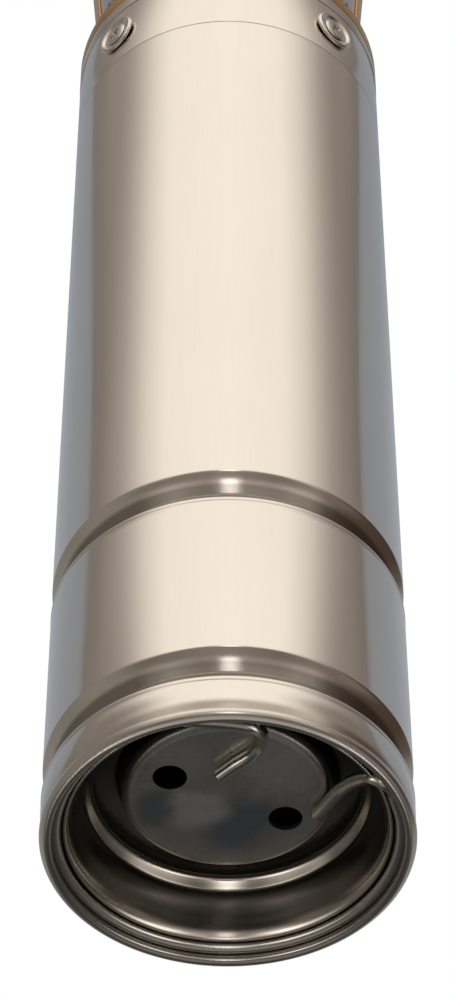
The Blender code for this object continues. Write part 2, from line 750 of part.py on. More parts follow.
def motor_shaft():
    low = LOW_BEARING_Z + FIT
    low_shoulder = LOW_BEARING_Z + BEARING_WIDTH + FIT
    high_shoulder = HIGH_BEARING_Z - FIT
    profile = [
        (0, MOTOR_SHAFT_TOP),
        (SHAFT_R - 1.0 * MM, MOTOR_SHAFT_TOP),
        (SHAFT_R, MOTOR_SHAFT_TOP - 1.0 * MM),
        (SHAFT_R, high_shoulder),
        (SHAFT_CORE_R, high_shoulder),
        (SHAFT_CORE_R, low_shoulder),
        (SHAFT_R, low_shoulder),
        (SHAFT_R, low),
        (0, low),
    ]
    turned("motor_shaft", profile, "shaft_steel", COARSE_SIDES)


def rotor_core():
    """The rotor's laminations with cast end rings and their fins."""
    rotor_r = STATOR_BORE_R - AIR_GAP
    bore_r = SHAFT_CORE_R + FIT
    low, high = STATOR_Z, STATOR_TOP
    profile = [
        (END_RING_R, high + ROTOR_OVERHANG),
        (END_RING_R, high),
        (rotor_r, high),
        (rotor_r, low),
        (END_RING_R, low),
        (END_RING_R, low - ROTOR_OVERHANG),
        (bore_r, low - ROTOR_OVERHANG),
        (bore_r, high + ROTOR_OVERHANG),
    ]
    rotor = turned("rotor_core", profile, "rotor_aluminium", COARSE_SIDES)
    fin_top = high + 2 * ROTOR_OVERHANG
    fins = spokes(FIN_COUNT, bore_r + 2.2 * MM, END_RING_R - 1.5 * MM, 2.4 * MM)
    join(rotor, plates("rotor_fins", fins, high + 1.0 * MM, fin_top))


def slots(grow):
    """Outlines of the stator's slots, each wider towards the outside."""
    outlines = []
    half_in = SLOT_WIDTH / 2 + grow
    half_out = SLOT_WIDTH / 2 * SLOT_OUTER_R / SLOT_INNER_R + grow
    for i in range(SLOT_COUNT):
        turn = Matrix.Rotation(2 * math.pi * (i + 0.5) / SLOT_COUNT, 2)
        corners = [
            (SLOT_INNER_R - grow, -half_in),
            (SLOT_OUTER_R + grow, -half_out),
            (SLOT_OUTER_R + grow, half_out),
            (SLOT_INNER_R - grow, half_in),
        ]
        outlines.append([tuple(turn @ Vector(corner)) for corner in corners])
    return outlines


def stator_core():
    profile = tube_profile(INNER_R, STATOR_BORE_R, STATOR_Z, STATOR_TOP)
    core = turned("stator_core", profile, "core_steel", COARSE_SIDES)
    cut(core, plates("stator_slots", slots(FIT), STATOR_Z - SHEET, STATOR_TOP + SHEET))


def stator_winding():
    """Coil sides in the slots, joined by the end turns above and below the core."""
    inner_r, outer_r = SLOT_INNER_R - 1.0 * MM, SLOT_OUTER_R + 2.0 * MM
    middle_r = (inner_r + outer_r) / 2

    shoulder = 0.7 * END_TURN_HEIGHT

    def end_turns(name, start, away, finish=None):
        profile = [
            (outer_r, start + away * shoulder),
            (outer_r, start),
            (inner_r, start),
            (inner_r, start + away * shoulder),
            (middle_r, start + away * END_TURN_HEIGHT),
        ]
        return turned(name, profile if away > 0 else profile[::-1], finish, COARSE_SIDES)

    top = end_turns("stator_winding", STATOR_TOP + FIT, 1, "copper_winding")
    bottom = end_turns("lower_end_turns", STATOR_Z - FIT, -1)
    sides = plates("coil_sides", slots(0.0), STATOR_Z - 2 * MM, STATOR_TOP + 2 * MM)
    join(top, sides, bottom)


# Motor head, joint sleeve, screws and shaft seal


def oring(name, z):
    """An O-ring in its groove in the motor head or the lower bracket, near the tube's bore."""
    centre_r = BORE_R - FIT - ORING_R
    profile = [
        (centre_r + ORING_R * math.cos(a), z - ORING_R * math.sin(a))
        for a in (2 * math.pi * (i + 0.5) / ORING_SIDES for i in range(ORING_SIDES))
    ]
    turned(name, profile, "rubber")


def oring_groove(name, z):
    """The cutter of the square groove that an O-ring lies in."""
    half = ORING_R + FIT
    return turned(name, tube_profile(TUBE_R, BORE_R - 2 * half, z - half, z + half))


def screw_azimuths():
    return [SCREW_FIRST_AZIMUTH + 360.0 * i / SCREW_COUNT for i in range(SCREW_COUNT)]


def radial_cutter(name, radius, azimuth, z, r_in, r_out, segments=SMALL_SIDES):
    centre = direction(azimuth) * (r_in + r_out) / 2 + Vector((0, 0, z))
    return cylinder(name, radius, r_out - r_in, centre, direction(azimuth), None, segments)


def gland_cutter(name, radius, low, high):
    centre = (0, GLAND_PITCH_R, (low + high) / 2)
    return cylinder(name, radius, high - low, centre, (0, 0, 1))


def bolt_place(index):
    angle = 45.0 + 360.0 * index / BOLT_COUNT
    return polar(BOLT_PITCH_R, angle)


def motor_head():
    """The head that closes the motor: bearing seat below, seal chamber above, ring between the tubes."""
    skirt_r = INNER_R - HEAD_SKIRT_WALL
    seat_r = BEARING_OUTER_R + FIT
    profile = [
        (TUBE_R, MOTOR_TOP),
        (TUBE_R, HEAD_RING_Z),
        (INNER_R, HEAD_RING_Z),
        (INNER_R, SHELL_LENGTH - HEAD_SKIRT),
        (skirt_r, SHELL_LENGTH - HEAD_SKIRT),
        (skirt_r, HEAD_WEB_Z),
        (seat_r + HUB_WALL, HEAD_WEB_Z),
        (seat_r + HUB_WALL, HIGH_BEARING_Z - 1.0 * MM),
        (seat_r, HIGH_BEARING_Z - 1.0 * MM),
        (seat_r, HEAD_WEB_Z),
        (SHAFT_R + 2 * FIT, HEAD_WEB_Z),
        (SHAFT_R + 2 * FIT, SEAL_FLOOR_Z),
        (SEAL_CHAMBER_R, SEAL_FLOOR_Z),
        (SEAL_CHAMBER_R, MOTOR_TOP),
    ]
    head = turned("motor_head", profile, "cast_steel")
    cut(head, oring_groove("head_oring_groove", head_oring_z()))
    for i, azimuth in enumerate(screw_azimuths()):
        depth_r = TUBE_R - SCREW_LENGTH - 1.0 * MM
        hole_r = SCREW_SHANK_R + FIT
        cut(head, radial_cutter(f"head_tap_{i}", hole_r, azimuth, SCREW_Z, depth_r, TUBE_R + MM))
    seat_low = MOTOR_TOP - GLAND_SEAT_DEPTH
    cut(head, gland_cutter("head_gland_seat", GLAND_BODY_R + FIT, seat_low, MOTOR_TOP + MM))
    lead_centre = (0, LEAD_HOLE_PITCH_R, (HEAD_WEB_Z + MOTOR_TOP) / 2)
    lead_depth = MOTOR_TOP - HEAD_WEB_Z
    cut(head, cylinder("lead_hole", LEAD_HOLE_R, lead_depth, lead_centre, (0, 0, 1)))
    for i in range(BOLT_COUNT):
        low = MOTOR_TOP - BOLT_DEPTH - 1.0 * MM
        centre = (*bolt_place(i), (low + MOTOR_TOP + MM) / 2)
        depth = MOTOR_TOP + MM - low
        cut(head, cylinder(f"head_bolt_tap_{i}", BOLT_R + FIT, depth, centre, (0, 0, 1)))


def head_oring_z():
    return SHELL_LENGTH - HEAD_SKIRT / 2


def bracket_oring_z():
    return (BRACKET_Z + BRACKET_TOP) / 2


def joint_sleeve():
    low, high = SLEEVE_Z, SLEEVE_Z + SLEEVE_LENGTH
    sleeve = turned("joint_sleeve", tube_profile(TUBE_R, BORE_R, low, high), "stainless_tube")
    for i, azimuth in enumerate(screw_azimuths()):
        hole = (SCREW_SHANK_R + FIT, azimuth, SCREW_Z, BORE_R - 3 * MM, TUBE_R + 3 * MM)
        cut(sleeve, radial_cutter(f"sleeve_hole_{i}", *hole))


def place_on_sleeve(obj, azimuth):
    """Stands a piece that was built along +Z on the sleeve's wall, pointing outwards."""
    outward = direction(azimuth)
    obj.location = outward * TUBE_R + Vector((0, 0, SCREW_Z))
    obj.rotation_mode = "QUATERNION"
    obj.rotation_quaternion = outward.to_track_quat("Z", "Y")


def shared_copy(name, original):
    """Another object with the original's mesh, built by its own modifiers."""
    twin = original.copy()
    twin.name = name
    PARTS.objects.link(twin)
    return twin


def washer_profile():
    """The cup washer's section: a rolled outer edge, and a seat sunk for the screw's head."""
    foot = FIT + 0.15 * MM
    seat_r = SCREW_HEAD_R + 0.5 * MM
    return [
        (WASHER_R - 0.6 * MM, foot + WASHER_RISE),
        (WASHER_R, foot + 0.6 * MM),
        (WASHER_R, foot),
        (SCREW_SHANK_R + FIT, foot),
        (SCREW_SHANK_R + FIT, foot + WASHER_SHEET),
        (seat_r - 0.9 * MM, foot + WASHER_SHEET),
        (seat_r + 0.2 * MM, foot + WASHER_RISE),
    ]


def sleeve_fasteners():
    """Four pan-head screws, each in its cup washer."""
    washer = turned("cup_washer_1", washer_profile(), "fastener_steel", SMALL_SIDES)
    seat = FIT + 0.15 * MM + WASHER_SHEET + FIT
    profile = [
        (0, seat + SCREW_HEAD),
        (SCREW_HEAD_R * 0.6, seat + SCREW_HEAD * 0.92),
        (SCREW_HEAD_R * 0.93, seat + SCREW_HEAD * 0.6),
        (SCREW_HEAD_R * 0.85, seat),
        (SCREW_SHANK_R, seat),
        (SCREW_SHANK_R, seat - SCREW_LENGTH),
        (0, seat - SCREW_LENGTH),
    ]
    screw = turned("sleeve_screw_1", profile, "fastener_steel", SMALL_SIDES)
    size = (CROSS_LENGTH, CROSS_WIDTH, 2 * CROSS_DEPTH)
    bars = [box(f"cross_bar_{i}", size, (0, 0, 0), 90.0 * i) for i in range(2)]
    join(bars[0], bars[1])
    cross = bars[0]
    for bar in bars:
        bar.location.z = seat + SCREW_HEAD
    cut(screw, cross)
    settle(washer)
    settle(screw)
    for i, azimuth in enumerate(screw_azimuths()):
        if i == 0:
            place_on_sleeve(washer, azimuth)
            place_on_sleeve(screw, azimuth)
        else:
            place_on_sleeve(shared_copy(f"cup_washer_{i + 1}", washer), azimuth)
            place_on_sleeve(shared_copy(f"sleeve_screw_{i + 1}", screw), azimuth)


def shaft_seal():
    """Stationary seat, rotating head and its spring, and the sand slinger above them."""
    seat_top = SEAL_SEAT_Z + SEAL_SEAT_HEIGHT
    seat = tube_profile(SEAL_SEAT_R, SHAFT_R + 2 * FIT, SEAL_SEAT_Z, seat_top)
    turned("seal_seat", seat, "ceramic", COARSE_SIDES)
    bore_r = SHAFT_R + FIT
    top = SEAL_HEAD_Z + SEAL_HEAD_HEIGHT
    head = [
        (SEAL_HEAD_R, top),
        (SEAL_HEAD_R, SEAL_HEAD_Z + 1.6 * MM),
        (SEAL_HEAD_R - 1.2 * MM, SEAL_HEAD_Z + 1.6 * MM),
        (SEAL_HEAD_R - 1.2 * MM, SEAL_HEAD_Z),
        (bore_r, SEAL_HEAD_Z),
        (bore_r, top),
    ]
    turned("seal_head", head, "stainless_pressing", COARSE_SIDES)
    spring_top = SEAL_SPRING_Z + SEAL_SPRING_HEIGHT
    turns = coil(SEAL_SPRING_R, SEAL_WIRE_R, SEAL_SPRING_Z, spring_top, SEAL_SPRING_TURNS)
    wire("seal_spring", turns, SEAL_WIRE_R, "spring_steel")
    slinger_top = SLINGER_Z + SLINGER_HEIGHT
    disc_low = SLINGER_Z + SLINGER_HEIGHT / 2
    slinger = [
        (SLINGER_HUB_R - 1.5 * MM, slinger_top),
        (SLINGER_HUB_R, disc_low + SLINGER_DISC),
        (SLINGER_R, disc_low + SLINGER_DISC),
        (SLINGER_R, disc_low),
        (SLINGER_HUB_R, disc_low),
        (SLINGER_HUB_R, SLINGER_Z),
        (bore_r, SLINGER_Z),
        (bore_r, slinger_top),
    ]
    turned("sand_slinger", slinger, "rubber", COARSE_SIDES)


# Intake bracket, gland, bolts and strainers


def cone_r(z):
    """The intake bracket's outer radius between its flange and its rim."""
    return INTAKE_FOOT_R + (TUBE_R - INTAKE_FOOT_R) * (z - FLANGE_TOP) / INTAKE_CONE


def window_heights():
    return FLANGE_TOP + WINDOW_LOW, CONE_TOP - WINDOW_HIGH


def window_cutter(name, window):
    low, high = window_heights()
    outline = sector(CABLE_NOTCH_R - INTAKE_WALL - 3 * MM, TUBE_R + 3 * MM, *window)
    return plates(name, [outline], low, high)


def intake_bracket():
    """Flange, flared ribs round three windows, rim and spigot, with the cable's notch at the back."""
    floor = FLANGE_TOP + INTAKE_FLOOR
    collar_r = SLINGER_R + 2.0 * MM
    profile = [
        (INNER_R, EYE_PLATE_TOP),
        (INNER_R, INTAKE_SHOULDER),
        (TUBE_R, INTAKE_SHOULDER),
        (TUBE_R, CONE_TOP),
        (INTAKE_FOOT_R, FLANGE_TOP),
        (TUBE_R, FLANGE_TOP),
        (TUBE_R, INTAKE_Z),
        (collar_r, INTAKE_Z),
        (collar_r, floor),
        (cone_r(floor) - INTAKE_WALL, floor),
        (TUBE_R - INTAKE_WALL, CONE_TOP),
        (TUBE_R - INTAKE_WALL, EYE_PLATE_TOP - EYE_PLATE),
        (EYE_R, EYE_PLATE_TOP - EYE_PLATE),
        (EYE_R, EYE_PLATE_TOP),
    ]
    bracket = turned("intake_bracket", profile, "brass")
    rib_depth = INTAKE_WALL + 6.0 * MM
    rib_low, rib_high = FLANGE_TOP - MM, CONE_TOP + MM
    rib_size = (CABLE_NOTCH_WIDTH + 2 * INTAKE_WALL, rib_depth, rib_high - rib_low)
    rib_y = CABLE_NOTCH_R - INTAKE_WALL + rib_depth / 2
    join(bracket, box("cable_rib", rib_size, (0, rib_y, (rib_low + rib_high) / 2)))
    notch_low, notch_high = FLANGE_TOP, FLANGE_TOP + CABLE_NOTCH_HEIGHT
    notch_size = (CABLE_NOTCH_WIDTH, 30.0 * MM, notch_high - notch_low)
    notch_y = CABLE_NOTCH_R + notch_size[1] / 2
    cut(bracket, box("cable_notch", notch_size, (0, notch_y, (notch_low + notch_high) / 2)))
    cut(bracket, window_cutter("front_window", FRONT_WINDOW))
    cut(bracket, window_cutter("right_window", RIGHT_WINDOW))
    cut(bracket, window_cutter("left_window", LEFT_WINDOW))
    hole = gland_cutter("flange_gland_hole", GLAND_BODY_R + FIT, INTAKE_Z - MM, FLANGE_TOP + MM)
    cut(bracket, hole)
    for i in range(BOLT_COUNT):
        centre = (*bolt_place(i), (INTAKE_Z + floor) / 2)
        depth = floor - INTAKE_Z + 2 * MM
        cut(bracket, cylinder(f"flange_bolt_hole_{i}", BOLT_R + FIT, depth, centre, (0, 0, 1)))


def cable_gland():
    """The gland that the cable enters the motor through, seated in the flange at the back."""
    low = MOTOR_TOP - GLAND_SEAT_DEPTH + FIT
    nut_low = FLANGE_TOP + FIT
    nut_high = nut_low + GLAND_NUT
    top = nut_high + GLAND_COLLAR
    profile = [
        (GLAND_BODY_R - 0.8 * MM, top),
        (GLAND_BODY_R, nut_high),
        (GLAND_NUT_R, nut_high),
        (GLAND_NUT_R, nut_low),
        (GLAND_BODY_R, nut_low),
        (GLAND_BODY_R, low),
        (CABLE_R, low),
        (CABLE_R, top),
    ]
    gland = turned("cable_gland", profile, "rubber", SMALL_SIDES)
    gland.location.y = GLAND_PITCH_R


def bracket_bolts():
    """Four hexagon-head bolts that hold the intake bracket to the motor head."""
    head_z = FLANGE_TOP + INTAKE_FLOOR + FIT
    low = MOTOR_TOP - BOLT_DEPTH
    profile = [
        (0, head_z + BOLT_HEAD),
        (BOLT_HEAD_R, head_z + BOLT_HEAD),
        (BOLT_HEAD_R, head_z),
        (BOLT_R, head_z),
        (BOLT_R, low),
        (0, low),
    ]
    bolt = turned("bracket_bolt_1", profile, "fastener_steel", HEXAGON_SIDES)
    bolt.location = (*bolt_place(0), 0)
    for i in range(1, BOLT_COUNT):
        twin = shared_copy(f"bracket_bolt_{i + 1}", bolt)
        twin.location = (*bolt_place(i), 0)


def strainer(name, window):
    """A perforated steel sheet that fills one intake window, curved to the bracket's cone."""
    low, high = window_heights()
    low, high = low + FIT, high - FIT
    edge = math.degrees(2 * FIT / INTAKE_FOOT_R)
    start, end = window[0] + edge, window[1] - edge
    outline = sector(INTAKE_FOOT_R - INTAKE_WALL, TUBE_R + MM, start, end)
    set_back = STRAINER_SET_BACK
    shell_profile = [
        (cone_r(high) - set_back, high),
        (cone_r(low) - set_back, low),
        (cone_r(low) - set_back - STRAINER_SHEET, low),
        (cone_r(high) - set_back - STRAINER_SHEET, high),
    ]
    sheet = turned(name, shell_profile, "stainless_pressing")
    combine(sheet, plates(name + "_span", [outline], low - MM, high + MM), "INTERSECT")
    rows = max(1, int((high - low - 2 * STRAINER_EDGE) / (STRAINER_PITCH * 0.8)) + 1)
    middle = (start + end) / 2
    holes = bmesh.new()
    for row in range(rows):
        z = low + STRAINER_EDGE + (high - low - 2 * STRAINER_EDGE) * row / max(1, rows - 1)
        pitch = math.degrees(STRAINER_PITCH / cone_r(z))
        reach = (end - start) / 2 - math.degrees(STRAINER_EDGE / cone_r(z))
        offset = 0.5 * (row % 2)
        count = int(reach / pitch + 1)
        for i in range(-count, count + 1):
            if abs(i + offset) * pitch > reach:
                continue
            add_radial_hole(holes, middle + (i + offset) * pitch, z)
    mesh = bpy.data.meshes.new(name + "_holes")
    holes.to_mesh(mesh)
    holes.free()
    cut(sheet, add_object(name + "_holes", mesh))


def add_radial_hole(shape, azimuth, z):
    """One six-sided cutter through the strainer's sheet."""
    outward = direction(azimuth)
    centre = outward * (cone_r(z) - STRAINER_SET_BACK) + Vector((0, 0, z))
    turn = outward.to_track_quat("Z", "Y").to_matrix().to_4x4()
    bmesh.ops.create_cone(
        shape,
        cap_ends=True,
        segments=HEXAGON_SIDES,
        radius1=STRAINER_HOLE_R,
        radius2=STRAINER_HOLE_R,
        depth=6 * STRAINER_SHEET,
        matrix=Matrix.Translation(centre) @ turn,
    )


# Coupling, pump shaft and stages


def hex_bar(name, radius, low, high, finish=None):
    centre = (0, 0, (low + high) / 2)
    return cylinder(name, radius, high - low, centre, (0, 0, 1), finish, HEXAGON_SIDES)


def shaft_coupling():
    """The sleeve that joins the round motor shaft to the hexagonal pump shaft."""
    bore_r = SHAFT_R + FIT
    split = MOTOR_SHAFT_TOP + FIT
    profile = [
        (0, COUPLING_TOP),
        (COUPLING_R - 1.0 * MM, COUPLING_TOP),
        (COUPLING_R, COUPLING_TOP - 1.0 * MM),
        (COUPLING_R, COUPLING_Z + 1.0 * MM),
        (COUPLING_R - 1.0 * MM, COUPLING_Z),
        (bore_r, COUPLING_Z),
        (bore_r, split),
        (0, split),
    ]
    coupling = turned("shaft_coupling", profile, "shaft_steel", COARSE_SIDES)
    hex_r = HEX_R + HEX_CLEARANCE
    cut(coupling, hex_bar("coupling_hex", hex_r, split - 0.5 * MM, COUPLING_TOP + MM))


def pump_shaft():
    """The hexagonal shaft with its round journal in the top bush."""
    low = MOTOR_SHAFT_TOP + 2 * FIT
    journal_z = STACK_TOP - 1.0 * MM
    shaft = hex_bar("pump_shaft", HEX_R, low, journal_z, "shaft_steel")
    journal_low, journal_high = journal_z - 2 * MM, BUSH_Z + BUSH_LENGTH
    centre = (0, 0, (journal_low + journal_high) / 2)
    depth = journal_high - journal_low
    join(shaft, cylinder("journal", JOURNAL_R, depth, centre, (0, 0, 1), None, COARSE_SIDES))


def impellers():
    """Closed impellers: curved passages between two shrouds, on a hexagonal bore."""
    low = IMPELLER_LIFT
    front = low + SHROUD
    channel_top = front + IMPELLER_CHANNEL
    hub_top = DISC_UNDERSIDE - 2 * FIT
    eye_ring_r = EYE_R - IMPELLER_EYE_CLEARANCE
    throat_r = eye_ring_r - SHROUD
    profile = [
        (0, hub_top),
        (IMPELLER_HUB_R, hub_top),
        (IMPELLER_HUB_R, channel_top + 1.6 * SHROUD),
        (IMPELLER_R, channel_top + SHROUD),
        (IMPELLER_R, low),
        (eye_ring_r, low),
        (eye_ring_r, -EYE_PLATE / 2),
        (throat_r, -EYE_PLATE / 2),
        (throat_r, channel_top - 0.3 * MM),
        (0, front),
    ]
    impeller = turned("impeller_1", profile, "impeller_plastic", COARSE_SIDES)
    shape = (throat_r - 2.0 * MM, IMPELLER_R + 2.0 * MM, -IMPELLER_VANE_SWEEP, VANE)
    passages = channels(IMPELLER_VANE_COUNT, *shape)
    cut(impeller, plates("impeller_passages", passages, front, channel_top))
    cut(impeller, hex_bar("impeller_hex", HEX_R + HEX_CLEARANCE, -MM, hub_top + MM))
    stack(impeller, "impeller")


def diffusers():
    """Stage bowls: an outer wall, and curved return passages above a disc that the wall carries."""
    top = STAGE_PITCH - FIT
    plate_low = top - EYE_PLATE
    disc_top = DISC_UNDERSIDE + DISC
    wall_r = INNER_R - STAGE_WALL
    bore_r = IMPELLER_HUB_R - 2.0 * MM
    profile = [
        (INNER_R, top),
        (INNER_R, 0),
        (wall_r, 0),
        (wall_r, disc_top + 1.0 * MM),
        (DISC_R, disc_top + 1.0 * MM),
        (DISC_R, DISC_UNDERSIDE),
        (bore_r, DISC_UNDERSIDE),
        (bore_r, disc_top - 0.4 * MM),
        (EYE_R, disc_top - 0.4 * MM),
        (EYE_R, top),
    ]
    diffuser = turned("diffuser_1", profile, "stage_plastic", COARSE_SIDES)
    shape = (EYE_R - 2.0 * MM, wall_r - 2.0 * MM, RETURN_VANE_SWEEP, VANE)
    passages = channels(RETURN_VANE_COUNT, *shape)
    cut(diffuser, plates("return_passages", passages, disc_top, plate_low))
    stack(diffuser, "diffuser")


def stack(first, name):
    """Settles the first piece and sets its copies one stage above another."""
    settle(first)
    first.location.z = STAGE_Z
    for i in range(1, STAGE_COUNT):
        twin = shared_copy(f"{name}_{i + 1}", first)
        twin.location.z = STAGE_Z + i * STAGE_PITCH


def pump_casing():
    profile = tube_profile(TUBE_R, BORE_R, CASING_Z, CASING_TOP)
    turned("pump_casing", profile, "stainless_tube")


# Discharge head, top bush and check valve


def discharge_head():
    """Spigot, shoulder, tapered body and outlet collar, with two rope eyes and the bush's spider."""
    cavity_r = INNER_R - HEAD_CAVITY_WALL
    neck_r = HEAD_COLLAR_R + 2.0 * MM
    profile = [
        (HEAD_COLLAR_R, HEAD_TOP),
        (HEAD_COLLAR_R, HEAD_NECK_Z),
        (neck_r, HEAD_NECK_Z - 4.0 * MM),
        (TUBE_R, HEAD_RIM_TOP),
        (TUBE_R, HEAD_SHOULDER),
        (INNER_R, HEAD_SHOULDER),
        (INNER_R, HEAD_Z),
        (cavity_r, HEAD_Z),
        (cavity_r, CASING_TOP),
        (VALVE_SEAT_R, OUTLET_FLOOR - VALVE_SEAT),
        (VALVE_SEAT_R, OUTLET_FLOOR),
        (OUTLET_R, OUTLET_FLOOR),
        (OUTLET_R, HEAD_TOP),
    ]
    head = turned("discharge_head", profile, "brass")
    carrier_bore_r = JOURNAL_R + BUSH_WALL + 2 * FIT
    carrier_r = carrier_bore_r + BUSH_CARRIER_WALL
    carrier_top = BUSH_Z + BUSH_LENGTH + FIT
    carrier_profile = tube_profile(carrier_r, carrier_bore_r, HEAD_Z, carrier_top)
    carrier = turned("bush_carrier", carrier_profile, None, COARSE_SIDES)
    arms = spokes(SPOKE_COUNT, carrier_r - 1.0 * MM, cavity_r + 1.0 * MM, SPOKE_WIDTH)
    join(head, plates("bush_spokes", arms, HEAD_Z + MM, HEAD_Z + MM + SPOKE_HEIGHT), carrier)
    for side in (-1, 1):
        lug_x = side * EYE_LUG_PITCH_R
        lug_name = f"eye_lug_{side}"
        lug = cylinder(lug_name, EYE_LUG_R, EYE_LUG_THICKNESS, (lug_x, 0, EYE_Z), (0, 1, 0))
        root_r = HEAD_COLLAR_R - 3.0 * MM
        root_size = (EYE_LUG_PITCH_R - root_r, EYE_LUG_THICKNESS - 1.0 * MM, 1.9 * EYE_LUG_R)
        root_x = side * (EYE_LUG_PITCH_R + root_r) / 2
        root = box(f"eye_root_{side}", root_size, (root_x, 0, EYE_Z))
        join(head, root, lug)
        hole_size = (EYE_HOLE_R, 2 * EYE_LUG_THICKNESS, (lug_x, 0, EYE_Z), (0, 1, 0))
        cut(head, cylinder(f"eye_hole_{side}", *hole_size))


def top_bush():
    low, high = BUSH_Z, BUSH_Z + BUSH_LENGTH
    inner_r = JOURNAL_R + FIT
    turned("top_bush", tube_profile(inner_r + BUSH_WALL, inner_r, low, high), "rubber", COARSE_SIDES)


def check_valve():
    """Guide in the outlet, poppet with its rubber seal on the seat, and the closing spring."""
    ring_r = OUTLET_R - FIT
    low, high = GUIDE_Z, GUIDE_Z + GUIDE_HEIGHT
    ring = tube_profile(ring_r, ring_r - GUIDE_RING_WALL, low, high)
    guide = turned("check_valve_guide", ring, "brass", COARSE_SIDES)
    hub = turned("guide_hub", tube_profile(GUIDE_HUB_R, STEM_R + FIT, low, high), None, SMALL_SIDES)
    arms = spokes(SPOKE_COUNT, GUIDE_HUB_R - MM, ring_r - MM, 0.6 * SPOKE_WIDTH)
    inset = 0.5 * MM
    join(guide, plates("guide_spokes", arms, low + inset, high - inset), hub)
    ring_top = SEAL_RING_Z + SEAL_RING_HEIGHT
    seal = tube_profile(POPPET_R, POPPET_BOSS_R + FIT, SEAL_RING_Z, ring_top)
    turned("check_valve_seal", seal, "rubber", COARSE_SIDES)
    disc_top = POPPET_Z + POPPET_DISC
    stem_top = high + 1.5 * MM
    poppet = [
        (0, stem_top),
        (STEM_R, stem_top),
        (STEM_R, disc_top + 2.0 * MM),
        (STEM_R + 1.5 * MM, disc_top),
        (POPPET_R - 1.0 * MM, disc_top),
        (POPPET_R, disc_top - 1.0 * MM),
        (POPPET_R, POPPET_Z),
        (POPPET_BOSS_R, POPPET_Z),
        (POPPET_BOSS_R, SEAL_RING_Z - POPPET_BOSS + 2.0 * MM),
        (POPPET_BOSS_R - 3.0 * MM, SEAL_RING_Z - POPPET_BOSS),
        (0, SEAL_RING_Z - POPPET_BOSS),
    ]
    turned("check_valve_poppet", poppet, "brass", COARSE_SIDES)
    turns = coil(
        VALVE_SPRING_R, VALVE_WIRE_R, VALVE_SPRING_Z, VALVE_SPRING_TOP, VALVE_SPRING_TURNS
    )
    wire("check_valve_spring", turns, VALVE_WIRE_R, "spring_steel")


def settle(obj):
    """Turns what the modifiers make into the object's own mesh, shaded smooth with sharp edges."""
    bpy.context.view_layer.update()
    graph = bpy.context.evaluated_depsgraph_get()
    mesh = bpy.data.meshes.new_from_object(obj.evaluated_get(graph))
    mesh.name = obj.name
    obj.modifiers.clear()
    obj.data = mesh
    mesh.shade_smooth()
    mesh.set_sharp_from_angle(angle=math.radians(38))


def build():
    motor_shell()
    snap_ring()
    clamp_ring()
    end_cover()
    diaphragm()
    lower_bracket()
    bearing("lower", LOW_BEARING_Z)
    bearing("upper", HIGH_BEARING_Z)
    motor_shaft()
    rotor_core()
    stator_core()
    stator_winding()
    motor_head()
    oring("head_oring", head_oring_z())
    oring("bracket_oring", bracket_oring_z())
    cut(bpy.data.objects["lower_bracket"], oring_groove("bracket_groove", bracket_oring_z()))
    joint_sleeve()
    sleeve_fasteners()
    shaft_seal()
    intake_bracket()
    cable_gland()
    bracket_bolts()
    strainer("strainer_front", FRONT_WINDOW)
    strainer("strainer_back_right", RIGHT_WINDOW)
    strainer("strainer_back_left", LEFT_WINDOW)
    shaft_coupling()
    pump_shaft()
    impellers()
    diffusers()
    pump_casing()
    discharge_head()
    top_bush()
    check_valve()
    for part in PARTS.objects:
        if part.modifiers:
            settle(part)


build()
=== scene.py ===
"""Looks of the borehole submersible pump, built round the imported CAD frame.

Lengths in the profiles are millimetres and are turned into metres where a mesh is made. An azimuth
is measured from the front, -Y, towards +X. The camera stands below and in front of the pump.
"""

import json
import math

import bmesh
import bpy
from mathutils import Matrix, Vector

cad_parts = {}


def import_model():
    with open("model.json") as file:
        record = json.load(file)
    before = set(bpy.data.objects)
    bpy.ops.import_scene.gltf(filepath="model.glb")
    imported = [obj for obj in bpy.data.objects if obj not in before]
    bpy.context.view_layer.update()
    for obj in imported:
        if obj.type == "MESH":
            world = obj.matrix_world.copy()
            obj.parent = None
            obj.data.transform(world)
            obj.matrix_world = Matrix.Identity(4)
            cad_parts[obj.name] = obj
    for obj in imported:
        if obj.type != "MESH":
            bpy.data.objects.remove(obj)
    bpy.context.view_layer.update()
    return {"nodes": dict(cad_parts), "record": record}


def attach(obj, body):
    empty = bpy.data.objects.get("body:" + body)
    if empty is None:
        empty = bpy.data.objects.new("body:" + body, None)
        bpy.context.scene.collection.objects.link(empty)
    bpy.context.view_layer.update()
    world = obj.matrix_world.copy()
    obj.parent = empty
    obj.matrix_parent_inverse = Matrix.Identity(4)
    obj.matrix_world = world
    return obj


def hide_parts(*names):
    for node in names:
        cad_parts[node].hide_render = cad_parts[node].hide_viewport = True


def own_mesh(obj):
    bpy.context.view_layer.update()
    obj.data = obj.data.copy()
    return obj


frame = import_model()

MM = 0.001
BODY = "pump_body"
VALVE = "check_valve"
FINE = 192
MEDIUM = 96

# Levels and radii that the dressed pieces share with the CAD, in mm
TUBE_R = 44.9
WALL = 1.5
SHELL_TOP = 279.25
SLEEVE = (279.55, 303.35)
HEAD_RING = (303.65, 308.5)
FLANGE = (308.8, 314.0)
CONE = (314.0, 389.0)
CONE_R = (38.9, 45.0)
SHOULDER_Z = 397.0
EYE_PLATE_TOP = 405.3
CASING = (397.3, 529.4)
HEAD_FOOT_Z = 509.6
HEAD_SHOULDER = 529.7
HEAD_TOP = 593.7
OUTLET_FLOOR = 550.7
OUTLET_R = 19.5
EYE_Z = 578.7
EYE_X = 35.6
SCREW_Z = 292.15
SCREW_AZIMUTHS = (43.6, 133.6, 223.6, 313.6)
WINDOWS = {"front": (-77.0, 77.0), "back_right": (103.0, 161.0), "back_left": (199.0, 257.0)}
WINDOW_Z = (319.2, 383.0)
WINDOW_R = 41.0
GROOVE_LEVELS = (74.0, 12.4)
GLAND_Y = 38.0


# Profiles


